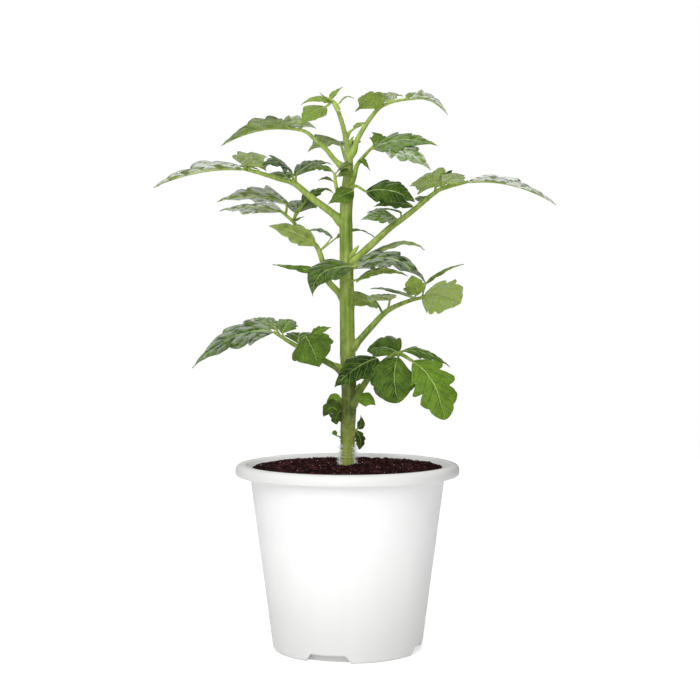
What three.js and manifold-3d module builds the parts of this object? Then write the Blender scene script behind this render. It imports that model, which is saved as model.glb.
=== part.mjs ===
// A young tomato plant in a plain white nursery pot. Millimetres, +Z up, origin at the middle of the
// pot's flat base. The front is towards -Y, the right towards +X.
import * as THREE from "three";
import { mergeVertices } from "three/addons/utils/BufferGeometryUtils.js";
import Module from "manifold-3d";

const wasm = await Module();
wasm.setup();

// Pot: an injection-moulded grower pot, 140 mm across its rolled rim.
const POT_HEIGHT = 115.5;
const RIM_RADIUS = 70;
const RIM_INNER_RADIUS = 63.4;
const RIM_LIP_BOTTOM = 108.5;
const WALL_TOP_RADIUS = 61;
const WALL_BASE_RADIUS = 46.6;
const WALL = 1.3;
const FLOOR = 1.6;
const FOOT_CHAMFER = 1.5;
const FLOOR_FILLET = 1.2;
const RIM_UNDER_ROUND = 2;
const RIM_TOP_ROUND = 2.8;
const RIM_INNER_CHAMFER = 1.6;
const POT_SEGMENTS = 40;

// Four drainage arches in the foot of the pot, each with a raised pocket behind it and a slot.
const ARCH_COUNT = 4;
const ARCH_FIRST_ANGLE = -15;
const ARCH_HEIGHT = 4.6;
const ARCH_FOOT_HALF = 14;
const ARCH_TOP_HALF = 11;
const ARCH_INNER_RADIUS = 40.5;
const SLOT_WIDTH = 8;
const SLOT_HEIGHT = 2.4;
const SLOT_DEPTH = 8;
const SLOT_LIFT = 0.3;
const CUT_THROUGH = 1;

// Soil: potting mix, domed a little towards the stem. Its lumps are wavelengths over two pi.
const CLEARANCE = 0.35;
const SOIL_EDGE_HEIGHT = 112;
const SOIL_DOME = 2.2;
const SOIL_RELIEF = 0.8;
const RELIEF_ABOVE = 0.1;
const BROAD_LUMP = 5;
const FINE_LUMP = 2;
const SOIL_POCKET_GAP = 1;
const SOIL_SEGMENTS = 36;
const SOIL_RINGS = 4;

// Main stem: places of its axis [x, y, z] and its radius at each, from the buried end to the top.
const STEM_SIDES = 10;
const STEM_STEPS = 20;
const STEM = [
  { place: [0, 0, 70], radius: 3.4 },
  { place: [0, 0, 112], radius: 4.2 },
  { place: [0.5, 0, 136], radius: 4.6 },
  { place: [1, 0, 160], radius: 4.6 },
  { place: [0, 0, 190], radius: 4.7 },
  { place: [-0.6, 0, 224], radius: 4.3 },
  { place: [-1, 0, 250], radius: 4 },
  { place: [-1, 0, 272], radius: 3.8 },
  { place: [0, 0, 290], radius: 3.3 },
  { place: [0.8, 0, 305], radius: 2.6 },
  { place: [-0.6, 0, 316], radius: 1.7 },
  { place: [-3, 0, 327], radius: 1.3 },
  { place: [-5.6, 0, 335], radius: 1.2 },
];
const STEM_BUDS = [
  { from: [-2, -4, 174], to: [-8, -8, 179], radius: 1.6 },
  { from: [4, -1, 160], to: [8, -3, 166], radius: 1.4 },
  { from: [1, -2, 244], to: [7.5, -3.5, 252], radius: 1.5 },
  { from: [0, 0, 313], to: [4, 0.5, 320], radius: 1.2 },
];

// A bud is plump in the middle and keeps at least this share of its radius at its ends.
const BUD_END = 0.25;
const BUD_SIDES = 5;
const BUD_STEPS = 3;

// Blade: its thickness, how far its halves fold up and slant forward, and where it is broadest.
// Its margin is cut into lobes, of which only a part of the last one is left before the tip.
const BLADE_THICKNESS = 0.7;
const BLADE_FOLD = 0.07;
const BLADE_SLANT = 0.42;
const BROADEST_AT = 0.3;
const BLUNT_SHIFT = 0.15;
const LOBES_A_SIDE = 3.6;
const NOTCH_SHARPNESS = 1.5;
const NOTCH_FADE = 3;
const TIP_HALF_BREADTH = 0.32;
const BLADE_ROWS = [
  { over: 15, rows: 8 },
  { over: 7, rows: 5 },
  { over: 0, rows: 3 },
];

// Stalks: a leaf's own stalk, and the short ones that carry its leaflets. A short one leaves the
// leaf's stalk a little before the place nearest to its leaflet and ends inside the blade.
const STALK_SIDES = 5;
const STALK_STEP = 10;
const STALK_TAPER = 1.4;
const LARGE_LEAFLET = 15;
const LARGE_PETIOLULE = { radius: 0.9, sides: 4 };
const SMALL_PETIOLULE = { radius: 0.6, sides: 3 };
const PETIOLULE_STEPS = 2;
const PETIOLULE_TAPER = 0.3;
const PETIOLULE_LEAD = 0.05;
const PETIOLULE_LOWEST = 0.12;
const PETIOLULE_INTO_BLADE = 0.1;
const END_REACH = 0.5;

// Leaves. Each stalk starts on the stem's axis at its height and runs through the places given;
// thick is its radius at the stem and at its end. A leaflet's midrib runs from, via and to, its
// upper side looks along face, width is its greatest breadth, lobes how deep its margin is cut
// and blunt how far its broadest place moves towards a rounded tip.
const LOBES_USUAL = 0.25;
const LEAVES = [
  {
    name: "leaf_lower_right",
    height: 149,
    stalk: [[5, -3, 155], [9, -6, 163], [16, -11, 173], [24, -18, 181], [31, -26, 185], [39, -36, 181]],
    thick: [2.2, 1],
    leaflets: [
      { from: [19, -17, 182], via: [6, -25, 177], to: [-8, -27, 165], width: 21, face: [-0.2, -0.7, 0.7], blunt: 0.4 },
      { from: [31, -22, 185], via: [22, -14, 189], to: [12, -10, 186], width: 24, face: [-0.1, -0.6, 0.8], blunt: 0.4 },
      { from: [31, -29, 183], via: [28, -38, 171], to: [31, -40, 155], width: 24, face: [0, -0.9, 0.4], blunt: 0.6 },
      { from: [39, -36, 181], via: [51, -44, 168], to: [58, -45, 146], width: 29, face: [0.1, -0.9, 0.4], lobes: 0.5, blunt: 0.8 },
      { from: [34, -25, 187], via: [49, -23, 185], to: [63, -20, 177], width: 17, face: [0.1, -0.4, 1] },
      { from: [8, -8, 158], via: [12, -10, 160], to: [17, -10, 152], width: 8, face: [0, -0.6, 0.7], blunt: 0.5 },
    ],
  },
  {
    name: "leaf_lower_left",
    height: 170,
    stalk: [[-6, -1, 175], [-13, -2, 179], [-24, -3, 185], [-35, -5, 191], [-46, -5, 198]],
    thick: [2.1, 0.9],
    leaflets: [
      { from: [-46, -5, 198], via: [-71, -9, 195], to: [-96, -12, 176], width: 30, face: [-0.2, -0.5, 0.9], lobes: 0.45 },
      { from: [-44, 1, 199], via: [-52, 9, 205], to: [-62, 16, 206], width: 13, face: [0, -0.2, 1] },
      { from: [-41, -1, 197], via: [-37, 5, 205], to: [-33, 12, 208], width: 12, face: [0.2, 0.5, 0.8] },
      { from: [-26, -11, 196], via: [-22, -22, 189], to: [-17, -27, 177], width: 26, face: [-0.1, -0.95, 0.3], lobes: 0.4, blunt: 0.4 },
      { from: [-23, -14, 195], via: [-17, -17, 199], to: [-10, -18, 201], width: 8, face: [0, -0.8, 0.6] },
      { from: [-31, 3, 191], via: [-30, 18, 197], to: [-27, 34, 192], width: 20, face: [0, 0.1, 1] },
    ],
  },
  {
    name: "leaf_middle_right",
    height: 185,
    stalk: [[6, 0, 191], [15, 1, 201], [25, 3, 211], [38, 6, 217], [50, 10, 220]],
    thick: [2.2, 0.9],
    leaflets: [
      { from: [50, 10, 220], via: [60, 24, 219], to: [72, 38, 211], width: 34, face: [-0.45, 0.6, 0.65], lobes: 0.4, blunt: 0.6 },
      { from: [42, 3, 219], via: [28, -9, 224], to: [14, -15, 225], width: 12, face: [0, 0.1, 1] },
      { from: [27, -2, 218], via: [20, -11, 220], to: [10, -20, 220], width: 19, face: [0, 0.35, 0.95] },
      { from: [19, 8, 216], via: [10, 20, 219], to: [-2, 31, 213], width: 22, face: [0.1, 0.6, 0.8] },
      { from: [44, 4, 221], via: [42, -1, 226], to: [40, -5, 233], width: 15, face: [0, 0.9, 0.5], blunt: 0.6 },
      { from: [49, 13, 228], via: [60, 15, 236], to: [74, 17, 241], width: 9, face: [-0.2, 0.3, 1] },
    ],
  },
  {
    name: "leaf_middle_left",
    height: 216,
    stalk: [
      [-4, 3, 221], [-13, 6, 231], [-16, 8, 243], [-19, 9, 251],
      [-24, 10, 256], [-31, 11, 263], [-35, 12, 268], [-42, 13, 274],
    ],
    thick: [2.1, 0.9],
    leaflets: [
      { from: [-37, 15, 279], via: [-59, 18, 284], to: [-83, 19, 281], width: 28, face: [0, 0.3, 1], lobes: 0.4 },
      { from: [-42, 13, 274], via: [-60, 0, 276], to: [-79, -12, 273], width: 20, face: [0, 0.2, 1] },
      { from: [-33, 15, 273], via: [-28, 28, 281], to: [-21, 42, 281], width: 24, face: [0.1, -0.1, 1], lobes: 0.4 },
      { from: [-28, 18, 279], via: [-19, 30, 289], to: [-9, 38, 288], width: 15, face: [0, 0, 1] },
      { from: [-34, 8, 267], via: [-31, 4, 269], to: [-27, 2, 270], width: 4, face: [0, 0, 1] },
      { from: [-20, 6, 252], via: [-33, 2, 260], to: [-49, -2, 264], width: 15, face: [-0.2, 0.7, 0.6] },
      { from: [-7, 12, 257], via: [5, 19, 263], to: [18, 25, 258], width: 10, face: [0, -0.2, 1] },
      { from: [-9, 12, 257], via: [-17, 10, 261], to: [-25, 9, 261], width: 6, face: [0, 0, 1] },
    ],
  },
  {
    name: "leaf_front",
    height: 224,
    stalk: [[1, -6, 229], [1, -12, 234], [2, -18, 238]],
    thick: [1.9, 1],
    leaflets: [
      { from: [0, -19, 236], via: [-16, -28, 236], to: [-22, -35, 220], width: 24, face: [-0.1, -0.6, 0.8] },
      { from: [-2, -15, 236], via: [-8, -18, 239], to: [-15, -21, 238], width: 10, face: [0, -0.5, 0.8] },
      { from: [-9, -22, 235], via: [-28, -18, 237], to: [-46, -14, 240], width: 9, face: [0, -0.5, 0.8] },
      { from: [3, -19, 237], via: [26, -27, 243], to: [48, -33, 228], width: 26, face: [0, -0.4, 0.9], lobes: 0.45 },
      { from: [5, -10, 229], via: [20, -6, 236], to: [38, -2, 233], width: 16, face: [0, 0.3, 1] },
      { from: [12, -14, 244], via: [32, -13, 253], to: [48, -9, 249], width: 13, face: [0, 0.2, 1] },
    ],
  },
  {
    name: "leaf_upper_right",
    height: 238,
    stalk: [
      [5, -1, 243], [17, -2, 254], [27, -3, 263], [34, -4, 268],
      [43, -5, 275], [54, -6, 284], [60, -6, 287], [75, -6, 291],
    ],
    thick: [2.4, 0.9],
    leaflets: [
      { from: [75, -6, 291], via: [102, -8, 289], to: [129, -10, 277], width: 26, face: [0, -0.1, 1], lobes: 0.4 },
      { from: [59, -9, 289], via: [48, -21, 291], to: [36, -34, 287], width: 23, face: [0, 0.6, 0.8], lobes: 0.5 },
      { from: [59, -11, 290], via: [66, -20, 292], to: [71, -27, 291], width: 15, face: [0, 0.5, 0.9] },
      { from: [41, -7, 276], via: [28, -12, 278], to: [16, -15, 275], width: 13, face: [0, -0.6, 0.8] },
      { from: [26, -6, 265], via: [17, -10, 268], to: [9, -13, 267], width: 13, face: [0, -0.7, 0.7] },
      { from: [34, -1, 272], via: [24, 5, 275], to: [12, 9, 273], width: 11, face: [0, 0, 1] },
      { from: [55, -3, 288], via: [54, 12, 293], to: [51, 31, 290], width: 19, face: [0, 0, 1] },
      { from: [62, -7, 289], via: [64, -9, 291], to: [64, -11, 294], width: 4, face: [0, 0.5, 0.8] },
      { from: [45, -3, 279], via: [48, 8, 283], to: [52, 17, 281], width: 10, face: [0, 0, 1] },
    ],
  },
  {
    name: "leaf_upper_left",
    height: 264,
    stalk: [
      [-5, 0, 268], [-11, -1, 273], [-22, -2, 281], [-33, -3, 290],
      [-43, -4, 293], [-53, -5, 296], [-65, -6, 299],
    ],
    thick: [2.4, 0.9],
    leaflets: [
      { from: [-65, -6, 299], via: [-92, -8, 297], to: [-120, -8, 288], width: 26, face: [0, 0.05, 1], lobes: 0.4 },
      { from: [-64, -9, 301], via: [-59, -20, 304], to: [-50, -31, 304], width: 22, face: [0, 0.5, 0.9] },
      { from: [-56, -6, 299], via: [-59, -7, 300], to: [-62, -8, 301], width: 4, face: [0, 0, 1] },
      { from: [-34, -8, 295], via: [-42, -17, 301], to: [-53, -23, 298], width: 24, face: [0.1, -0.5, 0.85], lobes: 0.5 },
      { from: [-33, 0, 295], via: [-22, 7, 306], to: [-9, 15, 304], width: 15, face: [0, -0.2, 1] },
      { from: [-62, -3, 300], via: [-58, 12, 304], to: [-52, 27, 301], width: 19, face: [0, 0, 1] },
      { from: [-38, 0, 293], via: [-42, 14, 299], to: [-46, 26, 296], width: 17, face: [0, -0.1, 1] },
    ],
  },
  {
    name: "leaf_front_upper",
    height: 282,
    stalk: [[1, -5, 286], [5, -10, 288], [11, -17, 284]],
    thick: [1.2, 0.7],
    leaflets: [
      { from: [11, -17, 284], via: [26, -25, 283], to: [41, -29, 276], width: 20, face: [0.1, -0.75, 0.65], lobes: 0.3 },
      { from: [1, -10, 286], via: [-6, -14, 283], to: [-14, -15, 281], width: 13, face: [0, -0.85, 0.5] },
    ],
  },
  {
    name: "side_shoot",
    height: 278,
    stalk: [[-5, -5, 283], [-7, -8, 288], [-8, -9, 296]],
    thick: [1.4, 0.8],
    leaflets: [
      { from: [-9, -10, 297], via: [-17, -11, 300], to: [-26, -12, 297], width: 7, face: [0, -0.4, 0.9] },
      { from: [-9, -9, 291], via: [-13, -10, 294], to: [-18, -10, 293], width: 5, face: [0, -0.3, 1] },
      { from: [-6, -10, 297], via: [-2, -14, 301], to: [4, -16, 300], width: 8, face: [0, -0.6, 0.8] },
      { from: [-6, -11, 294], via: [-2, -15, 296], to: [3, -17, 293], width: 7, face: [0, -0.7, 0.7] },
    ],
  },
  {
    name: "leaf_front_right",
    height: 287,
    stalk: [[4, -4, 294], [6, -6, 301], [11, -10, 307], [15, -14, 311]],
    thick: [1.7, 0.8],
    leaflets: [
      { from: [15, -14, 311], via: [33, -24, 315], to: [54, -32, 311], width: 27, face: [0, -0.45, 0.9], lobes: 0.5 },
      { from: [16, -13, 313], via: [19, -8, 318], to: [15, -3, 322], width: 13, face: [0, -0.6, 0.7], lobes: 0.4 },
      { from: [22, -23, 310], via: [37, -34, 306], to: [50, -40, 295], width: 20, face: [0.1, -0.7, 0.7], lobes: 0.4 },
      { from: [7, -10, 304], via: [10, -13, 303], to: [14, -14, 297], width: 6, face: [0.3, -0.7, 0.6] },
    ],
  },
  {
    name: "leaf_top_left",
    height: 298,
    stalk: [[-5, -1, 302], [-9, -1, 306], [-13, -2, 311], [-19, -3, 316], [-26, -4, 322], [-37, -5, 324]],
    thick: [1.6, 0.8],
    leaflets: [
      { from: [-37, -5, 324], via: [-57, -8, 322], to: [-78, -10, 313], width: 26, face: [0, 0.1, 1], lobes: 0.35 },
      { from: [-32, -5, 325], via: [-26, -6, 327], to: [-19, -7, 325], width: 10, face: [0, 0.3, 0.9] },
      { from: [-35, -2, 325], via: [-40, 11, 328], to: [-45, 24, 326], width: 17, face: [0, 0, 1] },
      { from: [-39, -9, 324], via: [-45, -17, 326], to: [-52, -26, 324], width: 14, face: [0, 0.1, 1] },
    ],
  },
  {
    name: "leaf_back",
    height: 303,
    stalk: [[-2, 4, 309], [-4, 10, 315]],
    thick: [1.1, 0.8],
    leaflets: [
      { from: [-4, 10, 315], via: [-12, 20, 320], to: [-26, 34, 314], width: 24, face: [0, -0.4, 0.9], lobes: 0.35 },
      { from: [-2, 12, 315], via: [2, 24, 319], to: [4, 38, 315], width: 15, face: [0, 0, 1] },
    ],
  },
  {
    name: "leaf_top_right",
    height: 306,
    stalk: [
      [4, -1, 311], [6, -2, 317], [10, -3, 324], [14, -4, 330],
      [19, -4, 336], [24, -5, 339], [31, -5, 341], [39, -5, 342],
    ],
    thick: [1.7, 0.7],
    leaflets: [
      { from: [39, -5, 342], via: [51, -8, 341], to: [62, -10, 332], width: 19, face: [0, 0.1, 1], lobes: 0.35 },
      { from: [18, -8, 336], via: [12, -17, 338], to: [5, -24, 335], width: 18, face: [0, 0.55, 0.85] },
      { from: [20, 0, 340], via: [27, 8, 346], to: [35, 14, 347], width: 11, face: [0, 0, 1] },
      { from: [26, -8, 341], via: [29, -13, 343], to: [33, -17, 342], width: 8, face: [0, 0.4, 0.9] },
      { from: [37, -2, 343], via: [41, 3, 347], to: [45, 9, 347], width: 9, face: [0, -0.2, 1] },
    ],
  },
  {
    name: "leaf_back_small",
    height: 317,
    stalk: [[1, 3, 322], [4, 6, 325]],
    thick: [0.8, 0.6],
    leaflets: [
      { from: [4, 6, 325], via: [8, 10, 329], to: [12, 15, 330], width: 7, face: [0, -0.2, 1] },
    ],
  },
  {
    name: "growing_tip",
    height: 335.4,
    stalk: [[-7, -0.5, 338], [-9, -1, 341], [-12, -1, 343]],
    thick: [1.1, 0.7],
    leaflets: [
      { from: [-10, -1, 341], via: [-18, -3, 342], to: [-29, -4, 339], width: 11, face: [0, -0.2, 1] },
      { from: [-13, -5, 338], via: [-21, -13, 335], to: [-28, -17, 327], width: 14, face: [-0.3, -0.8, 0.5] },
      { from: [-9, -3, 341], via: [-13, -4, 343], to: [-17, -6, 346], width: 3, face: [0, -0.5, 0.8] },
      { from: [-11, 2, 343], via: [-8, 3, 347], to: [-3, 4, 351], width: 4, face: [0.5, -0.5, 0.7] },
      { from: [-5, -1, 340], via: [-1, -2, 344], to: [4, -2, 343], width: 5, face: [0, -0.3, 1] },
    ],
  },
  {
    name: "basal_leaves_left",
    height: 142,
    stalk: [[-5, -3, 144], [-7, -6, 148]],
    thick: [0.9, 0.7],
    leaflets: [
      { from: [-7, -6, 148], via: [-10, -8, 156], to: [-14, -8, 158], width: 9, face: [-0.2, -0.8, 0.5] },
      { from: [-7, -6, 147], via: [-11, -9, 149], to: [-15, -9, 145], width: 9, face: [-0.2, -0.8, 0.5] },
    ],
  },
  {
    name: "basal_leaf_right",
    height: 132,
    stalk: [[5, -3, 134], [7, -4, 138]],
    thick: [0.8, 0.6],
    leaflets: [
      { from: [7, -4, 138], via: [9, -4, 143], to: [11, -5, 143], width: 5, face: [0.3, -0.7, 0.6] },
      { from: [7, -5, 137], via: [9, -6, 133], to: [8, -6, 127], width: 5, face: [0.3, -0.8, 0.4] },
    ],
  },
];

// Colours of the young plant, the pot and the potting mix.
const WHITE_POLYPROPYLENE = new THREE.MeshStandardMaterial({ color: 0xf1f2f3, roughness: 0.4, metalness: 0 });
const POTTING_MIX = new THREE.MeshStandardMaterial({ color: 0x33201c, roughness: 0.95, metalness: 0 });
const STEM_SKIN = new THREE.MeshStandardMaterial({ color: 0x7f9a3a, roughness: 0.6, metalness: 0 });
const LEAF_GREEN = new THREE.MeshStandardMaterial({ color: 0x4c7430, roughness: 0.55, metalness: 0 });

// A closed three.js geometry as a solid that can be joined and cut.
function solid(geometry) {
  const bare = geometry.clone();
  bare.deleteAttribute("normal");
  bare.deleteAttribute("uv");
  const merged = mergeVertices(bare);
  const mesh = new wasm.Mesh({
    numProp: 3,
    vertProperties: merged.attributes.position.array,
    triVerts: new Uint32Array(merged.index.array),
  });
  return new wasm.Manifold(mesh);
}

function joined(solids) {
  return solids.reduce((whole, next) => whole.add(next));
}

// Cutting can leave a loose crumb behind: the piece is the largest body.
function largestBody(whole) {
  const bodies = whole.decompose();
  return bodies.reduce((best, next) => (next.volume() > best.volume() ? next : best));
}

function meshOf(name, whole, material) {
  const { numProp, vertProperties, triVerts } = whole.getMesh();
  const geometry = new THREE.BufferGeometry();
  const stride = new THREE.InterleavedBuffer(vertProperties, numProp);
  geometry.setAttribute("position", new THREE.InterleavedBufferAttribute(stride, 3, 0));
  geometry.setIndex(new THREE.BufferAttribute(triVerts, 1));
  const mesh = new THREE.Mesh(geometry, material);
  mesh.name = name;
  return mesh;
}

function vector([x, y, z]) {
  return new THREE.Vector3(x, y, z);
}

// A round bar along a curve, with its radius given by a function of the share of the way along.
function bar(curve, radiusAt, sides, steps) {
  const unit = new THREE.CylinderGeometry(1, 1, 1, sides, steps);
  unit.deleteAttribute("normal");
  unit.deleteAttribute("uv");
  const geometry = mergeVertices(unit);
  const frames = [];
  let side = new THREE.Vector3(1, 0.2, 0.1);
  for (let step = 0; step <= steps; step++) {
    const along = curve.getTangentAt(step / steps);
    side = side.clone().addScaledVector(along, -side.dot(along)).normalize();
    const centre = curve.getPointAt(step / steps);
    frames.push({ centre, side, across: side.clone().cross(along), radius: radiusAt(step / steps) });
  }
  const position = geometry.attributes.position;
  for (let i = 0; i < position.count; i++) {
    const { centre, side: out, across, radius } = frames[Math.round((position.getY(i) + 0.5) * steps)];
    const moved = centre.clone();
    moved.addScaledVector(out, position.getX(i) * radius);
    moved.addScaledVector(across, position.getZ(i) * radius);
    position.setXYZ(i, moved.x, moved.y, moved.z);
  }
  return geometry;
}

// The quadratic curve that starts at from, passes via at half its parameter, and ends at to.
function midrib({ from, via, to }) {
  const start = vector(from);
  const end = vector(to);
  const control = vector(via).multiplyScalar(2);
  control.addScaledVector(start, -0.5).addScaledVector(end, -0.5);
  return new THREE.QuadraticBezierCurve3(start, control, end);
}

// Half the blade's breadth at share u of the midrib: an egg-shaped outline cut into forward lobes.
function halfBreadth(u, { width, lobes = LOBES_USUAL, blunt = 0 }) {
  const broadest = BROADEST_AT + BLUNT_SHIFT * blunt;
  const taper = 2 - blunt;
  const rise = Math.pow(u / broadest, taper * broadest);
  const egg = rise * Math.pow((1 - u) / (1 - broadest), taper * (1 - broadest));
  const within = (u * LOBES_A_SIDE) % 1;
  const notch = lobes * Math.pow(1 - within, NOTCH_SHARPNESS) * Math.min(1, NOTCH_FADE * (1 - u));
  return Math.max(TIP_HALF_BREADTH, 0.5 * width * egg * (1 - notch));
}

// One leaflet: two skins split alike and the wall between them.
function blade(leaflet) {
  const curve = midrib(leaflet);
  const { rows } = BLADE_ROWS.find(({ over }) => leaflet.width > over);
  const plane = new THREE.PlaneGeometry(1, 1, 2, rows);
  const skin = plane.attributes.position.count;
  const places = new Float32Array(skin * 6);
  for (let i = 0; i < skin; i++) {
    const u = 0.5 - plane.attributes.position.getY(i);
    const v = 2 * plane.attributes.position.getX(i);
    const along = curve.getTangent(u);
    const across = vector(leaflet.face).cross(along).normalize();
    const up = along.clone().cross(across);
    const half = halfBreadth(u, leaflet);
    const place = curve.getPoint(u);
    place.addScaledVector(across, v * half);
    place.addScaledVector(along, Math.abs(v) * half * BLADE_SLANT * (1 - u));
    place.addScaledVector(up, Math.abs(v) * half * BLADE_FOLD);
    place.clone().addScaledVector(up, BLADE_THICKNESS / 2).toArray(places, 3 * i);
    place.clone().addScaledVector(up, -BLADE_THICKNESS / 2).toArray(places, 3 * (i + skin));
  }
  const faces = [...plane.index.array];
  for (let i = 0; i < plane.index.count; i += 3) {
    const [a, b, c] = plane.index.array.slice(i, i + 3);
    faces.push(a + skin, c + skin, b + skin);
  }
  const rim = [];
  for (let column = 0; column < 2; column++) rim.push(3 * rows + column);
  for (let row = rows; row > 0; row--) rim.push(3 * row + 2);
  for (let column = 2; column > 0; column--) rim.push(column);
  for (let row = 0; row < rows; row++) rim.push(3 * row);
  rim.forEach((p, i) => {
    const q = rim[(i + 1) % rim.length];
    faces.push(p, p + skin, q + skin, p, q + skin, q);
  });
  const geometry = new THREE.BufferGeometry();
  geometry.setAttribute("position", new THREE.BufferAttribute(places, 3));
  geometry.setIndex(faces);
  return geometry;
}

// The share of the way along a curve that is nearest to a place, to the nearest fiftieth.
function nearestShare(curve, place) {
  const shares = Array.from({ length: 51 }, (_, i) => i / 50);
  const gap = (share) => curve.getPointAt(share).distanceTo(place);
  return shares.reduce((best, share) => (gap(share) < gap(best) ? share : best));
}

// The short stalk that carries a leaflet, from the nearest place on the leaf's own stalk.
function petiolule(stalk, leaflet) {
  const { radius, sides } = leaflet.width > LARGE_LEAFLET ? LARGE_PETIOLULE : SMALL_PETIOLULE;
  const start = vector(leaflet.from);
  const share = Math.max(PETIOLULE_LOWEST, nearestShare(stalk, start) - PETIOLULE_LEAD);
  const inner = midrib(leaflet).getPoint(PETIOLULE_INTO_BLADE);
  const curve = new THREE.QuadraticBezierCurve3(stalk.getPointAt(share), start, inner);
  return bar(curve, (along) => radius * (1 - PETIOLULE_TAPER * along), sides, PETIOLULE_STEPS);
}

function stemCurve() {
  return new THREE.CatmullRomCurve3(STEM.map(({ place }) => vector(place)));
}

function stemRadius(height) {
  const above = STEM.findIndex(({ place }) => place[2] >= height);
  if (above <= 0) return above === 0 ? STEM[0].radius : STEM.at(-1).radius;
  const low = STEM[above - 1];
  const high = STEM[above];
  const share = (height - low.place[2]) / (high.place[2] - low.place[2]);
  return THREE.MathUtils.lerp(low.radius, high.radius, share);
}

function stemSolid(growth) {
  const curve = stemCurve();
  const radiusAt = (share) => stemRadius(curve.getPointAt(share).z) + growth;
  return solid(bar(curve, radiusAt, STEM_SIDES, STEM_STEPS));
}

function bud({ from, to, radius }) {
  const curve = new THREE.LineCurve3(vector(from), vector(to));
  const plump = (share) => radius * Math.max(BUD_END, Math.sin(Math.PI * (BUD_END + share * (1 - BUD_END))));
  return solid(bar(curve, plump, BUD_SIDES, BUD_STEPS));
}

function mainStem() {
  const whole = joined([stemSolid(0), ...STEM_BUDS.map(bud)]);
  return meshOf("main_stem", whole, STEM_SKIN);
}

// The place on the stem's axis at a height.
function stemAxis(height) {
  const found = STEM.findIndex(({ place }) => place[2] >= height);
  const above = found < 1 ? STEM.length - 1 : found;
  const low = vector(STEM[above - 1].place);
  const high = vector(STEM[above].place);
  const share = (height - low.z) / (high.z - low.z);
  return low.lerp(high, Math.min(share, 1));
}

function leaf({ name, height, stalk, thick, leaflets }, cutter) {
  const foot = stemAxis(height).setZ(height);
  const curve = new THREE.CatmullRomCurve3([foot, ...stalk.map(vector)]);
  const steps = Math.max(3, Math.round(curve.getLength() / STALK_STEP));
  const radiusAt = (share) => THREE.MathUtils.lerp(thick[0], thick[1], Math.pow(share, STALK_TAPER));
  const pieces = [solid(bar(curve, radiusAt, STALK_SIDES, steps))];
  const tip = curve.getPoint(1);
  for (const leaflet of leaflets) {
    pieces.push(solid(blade(leaflet)));
    const carried = vector(leaflet.from).distanceTo(tip) > END_REACH;
    if (carried) pieces.push(solid(petiolule(curve, leaflet)));
  }
  return meshOf(name, largestBody(joined(pieces).subtract(cutter)), LEAF_GREEN);
}

function lathe(profile, segments) {
  const points = profile.map(([radius, height]) => new THREE.Vector2(radius, height));
  return new THREE.LatheGeometry(points, segments).rotateX(Math.PI / 2);
}

function wallRadius(height) {
  return THREE.MathUtils.lerp(WALL_BASE_RADIUS, WALL_TOP_RADIUS, height / RIM_LIP_BOTTOM);
}

// Three places on a quarter of a circle, as [radius, height], from an angle in degrees.
function quarterRound(radius, height, size, firstAngle) {
  return [0, 45, 90].map((turn) => {
    const angle = THREE.MathUtils.degToRad(firstAngle + turn);
    return [radius + size * Math.cos(angle), height + size * Math.sin(angle)];
  });
}

// The outside of the pot, filled in: a straight taper, then the rolled rim.
function potOutline() {
  const innerTop = POT_HEIGHT - RIM_INNER_CHAMFER;
  return [
    [0, 0],
    [WALL_BASE_RADIUS - FOOT_CHAMFER, 0],
    [wallRadius(FOOT_CHAMFER), FOOT_CHAMFER],
    [WALL_TOP_RADIUS, RIM_LIP_BOTTOM],
    ...quarterRound(RIM_RADIUS - RIM_UNDER_ROUND, RIM_LIP_BOTTOM + RIM_UNDER_ROUND, RIM_UNDER_ROUND, -90),
    ...quarterRound(RIM_RADIUS - RIM_TOP_ROUND, POT_HEIGHT - RIM_TOP_ROUND, RIM_TOP_ROUND, 0),
    [RIM_INNER_RADIUS + RIM_INNER_CHAMFER, POT_HEIGHT],
    [RIM_INNER_RADIUS, innerTop],
    [0, innerTop],
  ];
}

// The room inside the pot. It narrows below the rim and follows the wall down to the floor.
function potRoom() {
  const rimTop = POT_HEIGHT + CUT_THROUGH;
  return [
    [0, FLOOR],
    [wallRadius(FLOOR) - WALL - FLOOR_FILLET, FLOOR],
    [wallRadius(FLOOR + FLOOR_FILLET) - WALL, FLOOR + FLOOR_FILLET],
    [wallRadius(RIM_LIP_BOTTOM) - WALL, RIM_LIP_BOTTOM],
    [RIM_INNER_RADIUS, POT_HEIGHT - RIM_INNER_CHAMFER],
    [RIM_INNER_RADIUS, rimTop],
    [0, rimTop],
  ];
}

// A wedge with sloped sides, grown by a margin and laid radially outwards at an angle.
function archBlock(angle, margin, innerRadius) {
  const shape = new THREE.Shape();
  shape.moveTo(-ARCH_FOOT_HALF - margin, -CUT_THROUGH);
  shape.lineTo(ARCH_FOOT_HALF + margin, -CUT_THROUGH);
  shape.lineTo(ARCH_TOP_HALF + margin, ARCH_HEIGHT + margin);
  shape.lineTo(-ARCH_TOP_HALF - margin, ARCH_HEIGHT + margin);
  shape.closePath();
  const depth = WALL_TOP_RADIUS - innerRadius;
  const block = new THREE.ExtrudeGeometry(shape, { depth, bevelEnabled: false });
  block.translate(0, 0, innerRadius);
  block.rotateX(Math.PI / 2);
  return solid(block.rotateZ(THREE.MathUtils.degToRad(angle)));
}

function drainSlot(angle) {
  const box = new THREE.BoxGeometry(SLOT_WIDTH, SLOT_DEPTH, SLOT_HEIGHT);
  box.translate(0, -ARCH_INNER_RADIUS, FLOOR + SLOT_LIFT + SLOT_HEIGHT / 2);
  return solid(box.rotateZ(THREE.MathUtils.degToRad(angle)));
}

function archAngles() {
  return Array.from({ length: ARCH_COUNT }, (_, i) => ARCH_FIRST_ANGLE + (360 / ARCH_COUNT) * i);
}

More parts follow.
